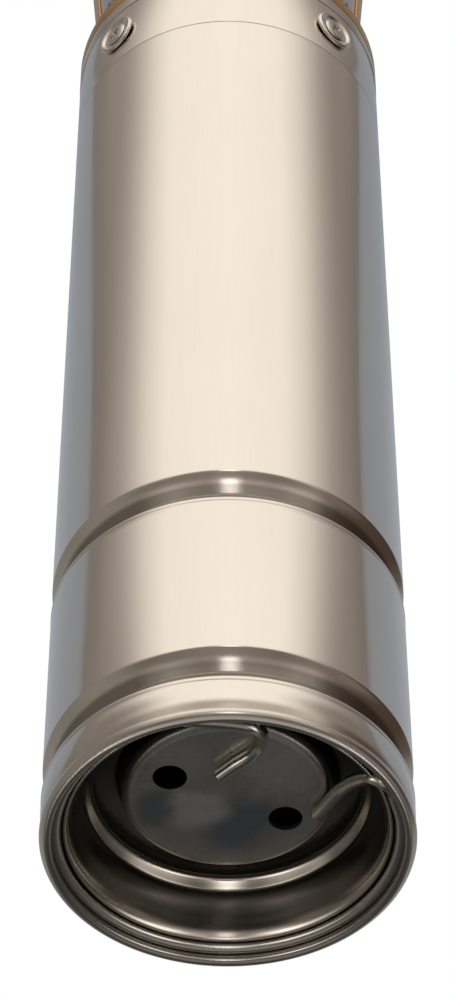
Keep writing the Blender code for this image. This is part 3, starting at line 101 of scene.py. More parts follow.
def direction(azimuth):
    """The horizontal unit vector at an azimuth in degrees."""
    angle = math.radians(azimuth)
    return Vector((math.sin(angle), -math.cos(angle), 0.0))


def spot(azimuth, r, z):
    """The place at an azimuth, a radius and a height."""
    return direction(azimuth) * r + Vector((0, 0, z))


def soften(points, size=0.3, steps=4):
    """Rounds a closed profile's corners; a point's third value is its own size."""
    out = []
    count = len(points)
    for i, point in enumerate(points):
        here = Vector(point[:2])
        own = point[2] if len(point) > 2 else size
        before = Vector(points[i - 1][:2]) - here
        after = Vector(points[(i + 1) % count][:2]) - here
        if own == 0 or here.x == 0:
            out.append(tuple(here))
            continue
        a = before.normalized() * min(own, 0.45 * before.length)
        b = after.normalized() * min(own, 0.45 * after.length)
        for k in range(steps + 1):
            t = k / steps
            place = here + a * (1 - t) ** 2 + b * t**2
            out.append(tuple(place))
    return out


def flow(points, steps=5):
    """A smooth open line through the points, of any dimension."""
    line = [Vector(p) for p in points]
    line = [2 * line[0] - line[1], *line, 2 * line[-1] - line[-2]]
    out = []
    for i in range(1, len(line) - 2):
        p0, p1, p2, p3 = line[i - 1 : i + 3]
        for k in range(steps):
            t = k / steps
            place = 0.5 * (
                2 * p1
                + (p2 - p0) * t
                + (2 * p0 - 5 * p1 + 4 * p2 - p3) * t**2
                + (3 * p1 - p0 - 3 * p2 + p3) * t**3
            )
            out.append(tuple(place))
    out.append(tuple(line[-2]))
    return out


def tube(r_out, r_in, low, high, size=0.3):
    """The profile of a plain tube."""
    return soften([(r_out, high), (r_out, low), (r_in, low), (r_in, high)], size)


def circle(radius, angles):
    """Points of a circle in mm at angles in degrees."""
    turns = [math.radians(a) for a in angles]
    return [(radius * math.cos(turn), radius * math.sin(turn)) for turn in turns]


# Meshes


def link(name, data):
    """Adds an object with this data to the scene."""
    obj = bpy.data.objects.new(name, data)
    bpy.context.scene.collection.objects.link(obj)
    return obj


def edit_mesh(mesh, *changes):
    """Makes changes to a mesh; each is a function of its edit mesh."""
    shape = bmesh.new()
    shape.from_mesh(mesh)
    for change in changes:
        change(shape)
    shape.to_mesh(mesh)
    shape.free()


def turn_outwards(shape):
    bmesh.ops.recalc_face_normals(shape, faces=shape.faces)


def weld(shape):
    bmesh.ops.remove_doubles(shape, verts=shape.verts, dist=1e-6)


def new_object(name, vertices, faces):
    """An object from points in metres, its faces turned outwards."""
    mesh = bpy.data.meshes.new(name)
    mesh.from_pydata([tuple(v) for v in vertices], [], faces)
    edit_mesh(mesh, turn_outwards)
    return link(name, mesh)


def band(a, b):
    """The faces between two rings of vertex numbers; a ring of one is a point on the axis."""
    count = max(len(a), len(b))
    pairs = [(i, (i + 1) % count) for i in range(count)]
    if count == 1:
        return []
    if len(a) == 1:
        return [(a[0], b[i], b[j]) for i, j in pairs]
    if len(b) == 1:
        return [(a[i], b[0], a[j]) for i, j in pairs]
    return [(a[i], b[i], b[j], a[j]) for i, j in pairs]


def lathe(name, profile, segments=FINE, radius_at=None):
    """A closed profile of (radius, height) in mm turned about Z; radius_at may change a radius."""
    vertices, rings = [], []
    for r, z in profile:
        if r == 0:
            rings.append([len(vertices)])
            vertices.append((0.0, 0.0, z * MM))
            continue
        rings.append(list(range(len(vertices), len(vertices) + segments)))
        for i in range(segments):
            angle = 2 * math.pi * i / segments
            reach = (radius_at(r, z, angle) if radius_at else r) * MM
            vertices.append((reach * math.cos(angle), reach * math.sin(angle), z * MM))
    pairs = list(zip(rings, rings[1:]))
    if len(rings[0]) > 1 or len(rings[-1]) > 1:
        pairs.append((rings[-1], rings[0]))
    return new_object(name, vertices, [face for a, b in pairs for face in band(a, b)])


def prism(name, outline, low, high):
    """A flat outline of (x, y) in mm between two heights."""
    count = len(outline)
    vertices = [(x * MM, y * MM, z * MM) for z in (low, high) for x, y in outline]
    faces = [tuple(range(count))[::-1], tuple(range(count, 2 * count))]
    faces += [(i, (i + 1) % count, count + (i + 1) % count, count + i) for i in range(count)]
    return new_object(name, vertices, faces)


def evaluated_mesh(obj, name):
    """A new mesh of an object as its modifiers or curve settings shape it."""
    bpy.context.view_layer.update()
    graph = bpy.context.evaluated_depsgraph_get()
    mesh = bpy.data.meshes.new_from_object(obj.evaluated_get(graph))
    mesh.name = name
    return mesh


def wire_curve(name, path, radius, sides):
    """A round curve through (place in mm, share of the radius)."""
    curve = bpy.data.curves.new(name, "CURVE")
    curve.dimensions = "3D"
    curve.bevel_depth = radius * MM
    curve.bevel_resolution = sides // 4
    curve.use_fill_caps = True
    spline = curve.splines.new("POLY")
    spline.points.add(len(path) - 1)
    for point, (place, share) in zip(spline.points, path):
        point.co = (*(place * MM), 1.0)
        point.radius = share
    return curve


def round_wire(name, points, radius, sides=24, taper=0.25):
    """A round wire through points in mm, with slightly rounded ends."""
    first, last = Vector(points[0]), Vector(points[-1])
    start = (Vector(points[1]) - first).normalized() * taper * radius
    end = (Vector(points[-2]) - last).normalized() * taper * radius
    path = [(first, 1 - taper), (first + start, 1.0)]
    path += [(Vector(p), 1.0) for p in points[1:-1]]
    path += [(last + end, 1.0), (last, 1 - taper)]
    guide = link(name + "_line", wire_curve(name, path, radius, sides))
    mesh = evaluated_mesh(guide, name)
    bpy.data.objects.remove(guide, do_unlink=True)
    edit_mesh(mesh, weld, turn_outwards)
    return link(name, mesh)


def cylinder(name, radius, depth, centre, axis=(0, 0, 1), sides=48):
    """A closed cylinder in mm about its centre."""
    ring = [
        (radius * math.cos(2 * math.pi * i / sides), radius * math.sin(2 * math.pi * i / sides))
        for i in range(sides)
    ]
    obj = prism(name, ring, -depth / 2, depth / 2)
    obj.data.transform(facing(centre, axis))
    return obj


def facing(centre, axis):
    """The matrix that stands Z along an axis at a centre in mm."""
    turn = Vector(axis).to_track_quat("Z", "Y").to_matrix().to_4x4()
    return Matrix.Translation(Vector(centre) * MM) @ turn


def combine(obj, others, operation):
    """Applies a boolean with each helper object and removes the helpers."""
    for other in others:
        boolean = obj.modifiers.new(other.name, "BOOLEAN")
        boolean.operation = operation
        boolean.solver = "EXACT"
        boolean.object = other
    apply_modifiers(obj)
    for other in others:
        bpy.data.objects.remove(other, do_unlink=True)


def apply_modifiers(obj):
    mesh = evaluated_mesh(obj, obj.name)
    obj.modifiers.clear()
    obj.data = mesh


def dress(obj, slot, *nodes, body=BODY, sharp=40.0, finish=None):
    """Shades a piece, gives it its slot's finish or another, and ties it to the CAD."""
    obj.data.shade_smooth()
    obj.data.set_sharp_from_angle(angle=math.radians(sharp))
    obj.data.materials.clear()
    obj.data.materials.append(MATERIALS[finish or slot])
    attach(obj, body)
    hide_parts(*nodes)


# Materials

RAMP = (0.3, 0.7)
FINE_SHARE = 0.35
BUMP_DEPTH = 0.0001
DRAWN_STRETCH = (1.0, 1.0, 0.03)
# The rolled lip's rubbed roughness, and painted shade on the lip and inside the mouth
LIP_Z = (0.0065, 0.003)
LIP_ROUGHNESS = 0.22
LIP_PAINTED_SHADE = 0.88
MOUTH_R = (0.0434, 0.0426)
MOUTH_PAINTED_SHADE = 0.45


def feed(tree, socket, value):
    """Links an output to an input, or sets the input's own value."""
    if isinstance(value, bpy.types.NodeSocket):
        tree.links.new(value, socket)
    else:
        socket.default_value = value


def node(tree, kind, **values):
    """Adds a shader node; keys are attributes, or input names with spaces as underscores."""
    made = tree.nodes.new("ShaderNode" + kind)
    for key, value in values.items():
        name = key.replace("_", " ")
        found = [s for s in made.inputs if s.name.lower() == name.lower() and s.enabled]
        if found:
            feed(tree, found[0], value)
        else:
            setattr(made, key, value)
    return made


def math_node(tree, operation, a, b=0.0):
    made = node(tree, "Math")
    made.operation = operation
    for socket, value in zip(made.inputs, (a, b)):
        feed(tree, socket, value)
    return made.outputs[0]


def times(tree, *factors):
    """The product of two or more numbers or outputs."""
    result = factors[0]
    for factor in factors[1:]:
        result = math_node(tree, "MULTIPLY", result, factor)
    return result


def vector_node(tree, operation, first, second=None):
    made = node(tree, "VectorMath", operation=operation)
    feed(tree, made.inputs[0], first)
    if second is not None:
        feed(tree, made.inputs["Scale" if operation == "SCALE" else 1], second)
    return made.outputs["Value" if operation in ("DISTANCE", "LENGTH") else "Vector"]


def object_place(tree):
    """The place on a piece, in metres."""
    return node(tree, "TexCoord").outputs["Object"]


def coordinates(tree, place):
    return node(tree, "SeparateXYZ", vector=place).outputs


def axis_distance(tree, parts):
    """The distance from the Z axis of a place whose coordinates are given."""
    squares = [times(tree, parts[i], parts[i]) for i in range(2)]
    return math_node(tree, "SQRT", math_node(tree, "ADD", *squares))


def grain(tree, kind):
    """Texture coordinates in metres: plain, drawn lengthwise along Z, or turned about Z."""
    place = object_place(tree)
    if kind == "drawn":
        return node(tree, "Mapping", vector=place, scale=DRAWN_STRETCH).outputs[0]
    if kind == "turned":
        parts = coordinates(tree, place)
        reach = axis_distance(tree, parts)
        return node(tree, "CombineXYZ", x=reach, z=parts[2]).outputs[0]
    return place


def noise(tree, place, scale, detail=3.0):
    made = node(tree, "TexNoise", vector=place, scale=scale, detail=detail)
    return made.outputs["Fac"]


def spread(tree, value, low, high, start=RAMP[0], end=RAMP[1]):
    """Maps start..end of a value to low..high."""
    return node(tree, "MapRange", value=value, from_min=start, from_max=end,
                to_min=low, to_max=high).outputs[0]


def between(tree, share, at_zero, at_one):
    return spread(tree, share, at_zero, at_one, 0.0, 1.0)


def ease(tree, value, start, end):
    """A smooth step from 0 at start to 1 at end, which may be the lower of the two."""
    made = node(tree, "MapRange", value=value, from_min=start, from_max=end)
    made.interpolation_type = "SMOOTHSTEP"
    return made.outputs[0]


def tones(tree, value, dark, light):
    made = node(tree, "ValToRGB", fac=value)
    for element, position, colour in zip(made.color_ramp.elements, RAMP, (dark, light)):
        element.position = position
        element.color = (*colour, 1.0)
    return made.outputs["Color"]


def blend(tree, factor, a, b):
    """A colour between a and b."""
    made = node(tree, "Mix")
    made.data_type = "RGBA"
    for name, value in (("Factor", factor), ("A", a), ("B", b)):
        feed(tree, next(s for s in made.inputs if s.name == name and s.enabled), value)
    return next(s for s in made.outputs if s.enabled)


def scale_colour(tree, level):
    """Multiplies a finish's base colour by an output."""
    base = tree.nodes["Principled BSDF"].inputs["Base Color"]
    tree.links.new(vector_node(tree, "SCALE", base.links[0].from_socket, level), base)


def finish_of(
    name, colour, metallic=1.0, rough=0.2, kind="plain", scale=900.0, vary=0.04,
    rough_vary=0.04, bump=0.05, mottle=25.0,
):
    """A finish whose colour, roughness and height all vary: fine grain on top of slow mottling."""
    material = bpy.data.materials.new(name)
    material.use_nodes = True
    tree = material.node_tree
    shader = tree.nodes["Principled BSDF"]
    shader.inputs["Metallic"].default_value = metallic
    fine = noise(tree, grain(tree, kind), scale)
    slow = noise(tree, object_place(tree), mottle, 4.0)
    mixed = math_node(tree, "ADD", times(tree, fine, FINE_SHARE), times(tree, slow, 1 - FINE_SHARE))
    dark = [c * (1 - vary) for c in colour]
    light = [min(1.0, c * (1 + vary)) for c in colour]
    tree.links.new(tones(tree, mixed, dark, light), shader.inputs["Base Color"])
    roughness = spread(tree, fine, rough - rough_vary, rough + rough_vary)
    tree.links.new(roughness, shader.inputs["Roughness"])
    height = node(tree, "Bump", strength=bump, distance=BUMP_DEPTH, height=fine)
    tree.links.new(height.outputs[0], shader.inputs["Normal"])
    return material


def painted_shade_by_height(material, shades):
    """Paints shade by height, scaling a finish's colour: shades are (height in metres, factor)."""
    tree = material.node_tree
    height = coordinates(tree, object_place(tree))[2]
    level = shades[0][1]
    for (low, a), (high, b) in zip(shades, shades[1:]):
        if a != b:
            change = between(tree, ease(tree, height, low, high), 0.0, b - a)
            level = math_node(tree, "ADD", level, change)
    scale_colour(tree, level)
    return material


def dull_lip_painted_shade(material):
    """The rolled lip is rubbed duller than the tube; painted shade makes it a little darker and the
    mouth's inside dark.
    """
    tree = material.node_tree
    parts = coordinates(tree, object_place(tree))
    amount = ease(tree, parts[2], *LIP_Z)
    roughness = tree.nodes["Principled BSDF"].inputs["Roughness"]
    dulled = between(tree, amount, roughness.links[0].from_socket, LIP_ROUGHNESS)
    tree.links.new(dulled, roughness)
    inside = ease(tree, axis_distance(tree, parts), *MOUTH_R)
    # Painted shade: the lip a little darker, the mouth's inside dark
    scale_colour(tree, times(tree, between(tree, amount, 1.0, LIP_PAINTED_SHADE),
                             between(tree, inside, 1.0, MOUTH_PAINTED_SHADE)))
    return material


# Painted shade: the clamp ring's wall is darker than its foot and its ridge: height in metres and
# factor
COLLAR_PAINTED_SHADE = [(0.0058, 1.0), (0.0078, 0.55), (0.0162, 0.5), (0.0184, 1.0)]

# Painted reflections on the end cover: each lighter or darker patch's place, size and tint, in metres
REFLECTION_PATCHES = [
    ((-0.0165, 0.003), 0.0085, (0.26, 0.28, 0.31)), ((0.003, 0.0095), 0.0135, (0.25, 0.27, 0.31)),
    ((-0.008, 0.004), 0.0095, (0.86, 0.83, 0.78)), ((0.012, -0.012), 0.014, (0.68, 0.66, 0.60)),
    ((-0.0105, -0.013), 0.009, (0.62, 0.61, 0.57)),
]
PATCH_CORE = 0.35
PATCH_STRENGTH = 0.85
PATCH_WARP = 0.009
COVER_Z = 0.016
# Painted shade: darker in the trench round the dome, and on the front of the dome's edge
TRENCH_Z = (0.0165, 0.0225)
TRENCH_PAINTED_SHADE = 0.45
CORNER_Z = (0.01603, 0.0164)
CORNER_FRONT = (0.012, -0.008)
CORNER_PAINTED_SHADE = 0.3


def painted_reflection_patches(tree, place, colour):
    """Painted reflections: soft lighter and darker patches whose outlines wander."""
    warp = node(tree, "TexNoise", vector=place, scale=90.0, detail=2.0)
    shift = vector_node(tree, "SCALE", warp.outputs["Color"], PATCH_WARP)
    moved = vector_node(tree, "ADD", place, shift)
    middle = PATCH_WARP / 2
    for (x, y), size, tint in REFLECTION_PATCHES:
        gap = vector_node(tree, "DISTANCE", moved, (x + middle, y + middle, COVER_Z + middle))
        amount = ease(tree, gap, size, PATCH_CORE * size)
        colour = blend(tree, times(tree, amount, PATCH_STRENGTH), colour, (*tint, 1.0))
    return colour


def cover_painted_light_and_dents(material):
    """The end cover's painted reflections, painted shade in the trench round it and on the front of
    its dome's edge, and the shallow dents in it.
    """
    tree = material.node_tree
    shader = tree.nodes["Principled BSDF"]
    base = shader.inputs["Base Color"]
    place = object_place(tree)
    parts = coordinates(tree, place)
    # Painted reflections on the cover's face
    tree.links.new(painted_reflection_patches(tree, place, base.links[0].from_socket), base)
    # Painted shade in the trench and on the front of the dome's edge
    painted_trench_shade = between(tree, ease(tree, parts[2], *TRENCH_Z), 1.0, TRENCH_PAINTED_SHADE)
    corner = times(tree, ease(tree, parts[1], *CORNER_FRONT),
                   ease(tree, parts[2], *CORNER_Z))
    scale_colour(tree, times(tree, painted_trench_shade, between(tree, corner, 1.0, CORNER_PAINTED_SHADE)))
    waves = noise(tree, place, 70.0, 1.0)
    dents = node(tree, "Bump", strength=0.35, distance=0.0012, height=waves)
    tree.links.new(dents.outputs[0], shader.inputs["Normal"])
    return material


DRAWN_TUBE = {
    "colour": (0.80, 0.74, 0.67), "rough": 0.13, "kind": "drawn", "scale": 1400.0,
    "vary": 0.025, "rough_vary": 0.025, "bump": 0.03, "mottle": 18.0,
}
MATERIALS = {
    "stainless_tube": finish_of("drawn_stainless", **DRAWN_TUBE),
    "stainless_pressing": finish_of(
        "pressed_stainless", (0.60, 0.555, 0.50), rough=0.24, kind="turned",
        vary=0.05, rough_vary=0.03, bump=0.01),
    "shell_tube": dull_lip_painted_shade(finish_of("shell_stainless", **DRAWN_TUBE)),
    "cover_sheet": cover_painted_light_and_dents(finish_of(
        "cover_sheet", (0.52, 0.50, 0.46), rough=0.31, vary=0.08, bump=0.01, mottle=60.0)),
    # The clamp ring's copy of the pressed stainless, darker as painted shade inside the mouth, with
    # more painted shade by height
    "pressing_painted_shade": painted_shade_by_height(finish_of(
        "pressing_painted_shade", (0.37, 0.34, 0.30), rough=0.19, kind="turned",
        vary=0.06, rough_vary=0.03, bump=0.01), COLLAR_PAINTED_SHADE),
    # Darker than the steel's own colour: painted shade for the snap ring in the dark mouth; the valve
    # coil shares it
    "spring_steel": finish_of(
        "drawn_wire", (0.42, 0.39, 0.35), rough=0.24, scale=300.0, vary=0.03, bump=0.0),
    "fastener_steel": finish_of(
        "bright_fastener", (0.76, 0.71, 0.65), scale=1100.0, vary=0.06),
    "bearing_steel": finish_of(
        "ground_bearing_steel", (0.70, 0.70, 0.71), rough=0.12, kind="turned", scale=2500.0,
        vary=0.02, rough_vary=0.03),
    "shaft_steel": finish_of(
        "turned_shaft", (0.60, 0.59, 0.57), rough=0.24, kind="turned", scale=2000.0, vary=0.04),
    "core_steel": finish_of(
        "laminated_core", (0.20, 0.21, 0.23), rough=0.45, kind="turned", scale=1500.0,
        vary=0.35, rough_vary=0.1, bump=0.5),
    "copper_winding": finish_of(
        "lacquered_copper", (0.62, 0.24, 0.09), rough=0.3, kind="drawn", vary=0.3, bump=0.9),
    "rotor_aluminium": finish_of(
        "die_cast_aluminium", (0.60, 0.61, 0.62), rough=0.38, scale=700.0, vary=0.08, bump=0.2),
    "cast_iron": finish_of(
        "cast_iron_skin", (0.14, 0.145, 0.15), metallic=0.7, rough=0.6, scale=500.0,
        vary=0.25, rough_vary=0.1, bump=0.6),
    "cast_steel": finish_of(
        "turned_casting", (0.70, 0.64, 0.57), kind="turned", scale=1800.0, vary=0.05, bump=0.06),
    "brass": finish_of(
        "cast_brass", (0.71, 0.43, 0.185), rough=0.33, scale=650.0, vary=0.14,
        rough_vary=0.08, bump=0.25, mottle=60.0),
    "rubber": finish_of(
        "nitrile_rubber", (0.022, 0.022, 0.023), metallic=0.0, rough=0.62, scale=1200.0,
        vary=0.3, rough_vary=0.1, bump=0.3),
    "ceramic": finish_of(
        "lapped_ceramic", (0.80, 0.78, 0.74), metallic=0.0, rough=0.25, scale=1500.0, vary=0.02),
    "stage_plastic": finish_of(
        "filled_plastic", (0.045, 0.045, 0.05), metallic=0.0, rough=0.45, scale=1500.0,
        vary=0.25, bump=0.2),
    "impeller_plastic": finish_of(
        "moulded_plastic", (0.60, 0.58, 0.52), metallic=0.0, rough=0.42, scale=1200.0, vary=0.05),
}


def dress_cad_nodes():
    """Every CAD node that stays in view takes the procedural finish of its material slot."""
    slots = {part["node"]: part["material_slot"] for part in frame["record"]["subparts"]}
    for name, obj in frame["nodes"].items():
        for place in obj.material_slots:
            place.material = MATERIALS[slots[name]]


# Motor shell and what is in its open end


# A rolled groove from its top edge down to its lower shoulder: depth and height in mm
GROOVE = [
    (0.0, 11.6), (0.0, 10.75), (0.02, 10.5), (0.14, 10.25), (0.85, 9.35), (1.4, 8.62), (1.9, 7.88),
    (2.33, 7.15), (2.76, 6.42), (3.12, 5.75), (3.36, 5.25), (3.4, 5.0), (3.25, 4.75), (2.8, 4.2),
    (1.9, 3.05), (0.9, 1.75), (0.2, 0.85), (-0.03, 0.4), (-0.07, 0.0), (-0.03, -0.35),
    (0.09, -0.75), (0.1, -1.15), (0.03, -1.8), (0.0, -2.6),
]


def groove_line(low):
    """A groove's outside, whose lower shoulder is at a height of low."""
    return flow([(TUBE_R - depth, low + height) for depth, height in GROOVE], 3)


def motor_shell():
    inner = TUBE_R - WALL
    outside = [(TUBE_R - 0.12, SHELL_TOP + 0.14), (TUBE_R, SHELL_TOP + 0.02)]
    for low in GROOVE_LEVELS:
        outside += groove_line(low)
    lip = flow([
        (TUBE_R, 8.4), (TUBE_R - 0.06, 7.3), (TUBE_R - 0.19, 6.1), (TUBE_R - 0.42, 5.1),
        (TUBE_R - 0.69, 4.35), (TUBE_R - 0.9, 3.8), (TUBE_R - 0.96, 3.6), (TUBE_R - 0.88, 3.42),
        (TUBE_R - 0.5, 3.08), (TUBE_R - 0.12, 2.75), (44.95, 2.35), (44.97, 1.9), (44.87, 1.45),
        (44.66, 1.05), (44.38, 0.72), (44.0, 0.42), (43.55, 0.17), (43.05, 0.12), (42.55, 0.3),
        (42.1, 0.65), (41.85, 1.15), (41.8, 1.7), (41.98, 2.3), (42.45, 2.7), (42.95, 3.0),
        (43.3, 3.7), (inner, 5.0), (inner, 8.4),
    ], 4)
    inside = []
    for low in GROOVE_LEVELS[::-1]:
        inside += [(r - WALL, z) for r, z in groove_line(low)[::-1]]
    inside += [(inner, SHELL_TOP)]
    shell = lathe("shell", outside + lip + inside, 256)
    dress(shell, "stainless_tube", "motor_shell", finish="shell_tube")


def snap_ring():
    """The wire ring, with its two ends sprung inwards against the cover."""
    ring_r, ring_z = 41.55, 4.22
    arc_start, arc_sweep, arc_steps = -18.0, -262.0, 42
    front = [(-2.2, -9.6, 14.05), (-0.2, -11.7, 14.05), (1.9, -13.9, 14.0), (4.1, -15.8, 14.0),
             (6.0, -18.1, 13.8), (7.25, -21.8, 12.8), (7.8, -26.9, 10.2), (7.5, -32.6, 6.6),
             (5.6, -37.2, 3.9), (1.8, -38.9, 3.3), (-3.0, -39.5, 3.3), (-8.2, -39.6, 3.8)]
    right = [(39.2, -13.6, 4.4), (38.6, -16.4, 3.8), (36.6, -18.3, 3.9), (34.3, -18.4, 5.4),
             (32.6, -16.4, 7.6), (30.0, -11.9, 10.6), (27.5, -7.0, 12.9), (25.4, -2.9, 13.8),
             (23.2, 1.2, 14.0), (21.1, 4.4, 14.05)]
    arc = [tuple(spot(arc_start + arc_sweep * i / arc_steps, ring_r, ring_z))
           for i in range(arc_steps + 1)]
    wire = round_wire("wire_ring", flow(front + arc + right, 6), 1.75)
    dress(wire, "spring_steel", "snap_ring", sharp=80.0)


def clamp_ring():
    """The pressed collar inside the mouth, with its rounded inner ridge."""
    seen = flow([
        (39.68, 7.3), (39.68, 5.5), (39.58, 4.8), (39.36, 4.36), (39.03, 4.2), (38.68, 4.4),
        (38.38, 4.8), (38.07, 5.37), (37.7, 6.22), (37.27, 7.45), (36.75, 9.2), (36.1, 11.3),
        (35.6, 13.2), (35.15, 15.0), (34.98, 15.85), (34.86, 16.45), (34.68, 16.93),
        (34.4, 17.33), (33.4, 18.45), (33.15, 18.75), (32.92, 19.1), (32.77, 19.45),
        (32.7, 19.85), (32.75, 20.2), (33.0, 20.55), (33.6, 20.85), (34.6, 21.3), (35.2, 22.0),
        (35.4, 22.5),
    ], 5)
    hidden = soften([
        (35.9, 22.7), (39.6, 22.7), (39.6, 21.5), (37.0, 21.5), (35.9, 17.6), (37.9, 8.95),
        (43.2, 8.95), (43.2, 7.7), (39.75, 7.7),
    ], 0.35)
    ring = lathe("clamp_collar", seen + hidden)
    # Its finish is the pressed stainless darkened with painted shade
    dress(ring, "stainless_pressing", "clamp_ring", finish="pressing_painted_shade")


def end_cover():
    """The dished disc with its two holes."""
    hole_r, hole_reach, hole_angle = 4.15, 15.7, 27.5
    lower = flow([
        (39.6, 23.0), (34.0, 23.0), (28.2, 22.95), (26.9, 22.5), (26.25, 21.4), (26.05, 19.6),
        (25.8, 18.0), (25.0, 16.75), (23.6, 16.15), (21.5, 16.0), (12.0, 16.0), (0.0, 16.0),
    ], 5)
    upper = soften([
        (0.0, 17.2), (21.5, 17.2), (24.6, 19.4), (24.9, 24.2), (39.6, 24.2),
    ], 0.8)
    cover = lathe("cover", upper + lower, 160)
    holes = []
    for side in (0, 1):
        angle = math.radians(hole_angle + 180 * side)
        centre = (hole_reach * math.cos(angle), hole_reach * math.sin(angle), 16.6)
        holes.append(cylinder(f"cover_hole_{side}", hole_r, 6.0, centre))
    combine(cover, holes, "DIFFERENCE")
    dress(cover, "stainless_pressing", "end_cover", finish="cover_sheet", sharp=30.0)


# Joint sleeve, screws and motor head


def sleeve():
    piece = lathe("sleeve", tube(TUBE_R, TUBE_R - WALL, *SLEEVE, 0.12))
    holes = []
    for i, azimuth in enumerate(SCREW_AZIMUTHS):
        centre = spot(azimuth, TUBE_R, SCREW_Z)
        holes.append(cylinder(f"sleeve_hole_{i}", 2.3, 8.0, centre, direction(azimuth)))
    combine(piece, holes, "DIFFERENCE")
    dress(piece, "stainless_tube", "joint_sleeve", sharp=30.0)


def washer_profile():
    return flow([
        (2.4, 0.12), (4.6, 0.1), (6.1, 0.1), (6.45, 0.25), (6.55, 0.55), (6.45, 0.9), (6.15, 1.15),
        (5.75, 1.22), (5.3, 1.08), (4.95, 0.85), (4.75, 0.68), (4.4, 0.62), (2.4, 0.62),
    ], 4)


def screw_profile():
    head = flow([(0.0, 1.36), (1.8, 1.34), (2.8, 1.26), (3.4, 1.08), (3.72, 0.88), (3.78, 0.76)], 5)
    return head + [(3.7, 0.72), (2.0, 0.72), (2.0, -7.6), (0.0, -7.6)]


def cross_recess(name):
    """A tapered cross, as a driver's point leaves it."""
    bars = []
    for i, turn in enumerate((0.0, 90.0)):
        bar = prism(f"{name}_{i}", [(-2.3, -0.6), (2.3, -0.6), (2.3, 0.6), (-2.3, 0.6)], -0.2, 1.7)
        for vertex in bar.data.vertices:
            if vertex.co.z < 1.0 * MM:
                vertex.co.x *= 0.45
                vertex.co.y *= 0.6
        bar.data.transform(Matrix.Rotation(math.radians(turn + 38.0), 4, "Z"))
        bars.append(bar)
    return bars


def sleeve_fasteners():
    for i, azimuth in enumerate(SCREW_AZIMUTHS, 1):
        stand = facing(spot(azimuth, 45.0, SCREW_Z), direction(azimuth))
        washer = lathe(f"washer_{i}", washer_profile(), MEDIUM)
        screw = lathe(f"screw_{i}", screw_profile(), MEDIUM)
        combine(screw, cross_recess(f"cross_{i}"), "DIFFERENCE")
        for piece, node_name in ((washer, f"cup_washer_{i}"), (screw, f"sleeve_screw_{i}")):
            piece.data.transform(stand)
            dress(piece, "fastener_steel", node_name)


def motor_head():
    low, high = HEAD_RING
    profile = soften([
        (45.0, high, 0.35), (45.0, low, 0.35), (43.2, low), (43.2, 257.75), (39.2, 257.75),
        (39.2, 282.05), (20.8, 282.05), (20.8, 270.75), (16.3, 270.75), (16.3, 282.05),
        (6.3, 282.05), (6.3, 287.05), (15.0, 287.05), (15.0, high),
    ], 0.3, 3)
    head = lathe("head_casting", profile)
    gland_seat = cylinder("gland_seat", 5.3, 7.0, (0, GLAND_Y, high - 1.9))
    combine(head, [gland_seat], "DIFFERENCE")
    dress(head, "cast_steel", "motor_head", sharp=30.0)


# Intake bracket, gland and strainers


def cone_r(z):
    """The bracket's outer radius at a height."""
    share = (z - CONE[0]) / (CONE[1] - CONE[0])
    return CONE_R[0] + (CONE_R[1] - CONE_R[0]) * share


def window_outline(start, end, corner=4.0):
    """A rounded window as points of azimuth in degrees and height in mm."""
    low, high = WINDOW_Z
    inset = corner * 180.0 / (math.pi * WINDOW_R)
    outline = []
    for centre_a, centre_z, first in (
        (end - inset, high - corner, 0), (start + inset, high - corner, 90),
        (start + inset, low + corner, 180), (end - inset, low + corner, 270),
    ):
        for k in range(7):
            angle = math.radians(first + 15 * k)
            outline.append((centre_a + inset * math.cos(angle), centre_z + corner * math.sin(angle)))
    dense = []
    for i, (a, z) in enumerate(outline):
        b, y = outline[(i + 1) % len(outline)]
        parts = max(1, math.ceil(abs(b - a) / 3.0))
        dense += [(a + (b - a) * k / parts, z + (y - z) * k / parts) for k in range(parts)]
    return dense


def close_ends(shape):
    bmesh.ops.holes_fill(shape, edges=shape.edges, sides=0)
    bmesh.ops.triangulate(shape, faces=[f for f in shape.faces if len(f.verts) > 4])


def window_cutter(name, start, end):
    """A radial prism that cuts one window through the bracket's wall."""
    outline = window_outline(start, end)
    count = len(outline)
    vertices = []
    for r in (24.0, 52.0):
        vertices += [spot(a, r, z) * MM for a, z in outline]
    faces = [(i, (i + 1) % count, count + (i + 1) % count, count + i) for i in range(count)]
    cutter = new_object(name, vertices, faces)
    edit_mesh(cutter.data, close_ends, turn_outwards)
    return cutter


def block(name, half, depth, levels):
    """A box across X = -half..half, between two values of Y and two of Z."""
    front, back = depth
    return prism(name, [(-half, front), (half, front), (half, back), (-half, back)], *levels)


def intake():
    """The cast bracket: flange, cone with three windows, and the cable's rib and notch."""
    low, high = FLANGE
    profile = soften([
        (43.2, EYE_PLATE_TOP), (43.2, SHOULDER_Z), (45.0, SHOULDER_Z, 0.5), (45.0, CONE[1], 1.5),
        (CONE_R[0], CONE[0], 1.2), (45.0, high, 0.7), (45.0, low, 0.5), (16.0, low), (16.0, 319.0),
        (35.2, 319.0), (41.8, CONE[1]), (41.8, 402.9), (14.5, 402.9), (14.5, EYE_PLATE_TOP),
    ], 0.4, 4)
    piece = lathe("intake", profile)
    rib = block("cable_rib", 11.2, (27.8, 37.0), (316.0, 390.0))
    seat = block("gland_seat_pad", 7.6, (30.0, 44.0), (311.0, 317.0))
    combine(piece, [rib, seat], "UNION")
    notch = block("cable_notch", 8.0, (31.0, 61.0), (317.0, 379.0))
    cutters = [notch, cylinder("flange_gland", 5.3, 9.0, (0, GLAND_Y, 313.5))]
    cutters += [window_cutter(f"window_{name}", *span) for name, span in WINDOWS.items()]
    combine(piece, cutters, "DIFFERENCE")
    dress(piece, "brass", "intake_bracket", sharp=32.0)


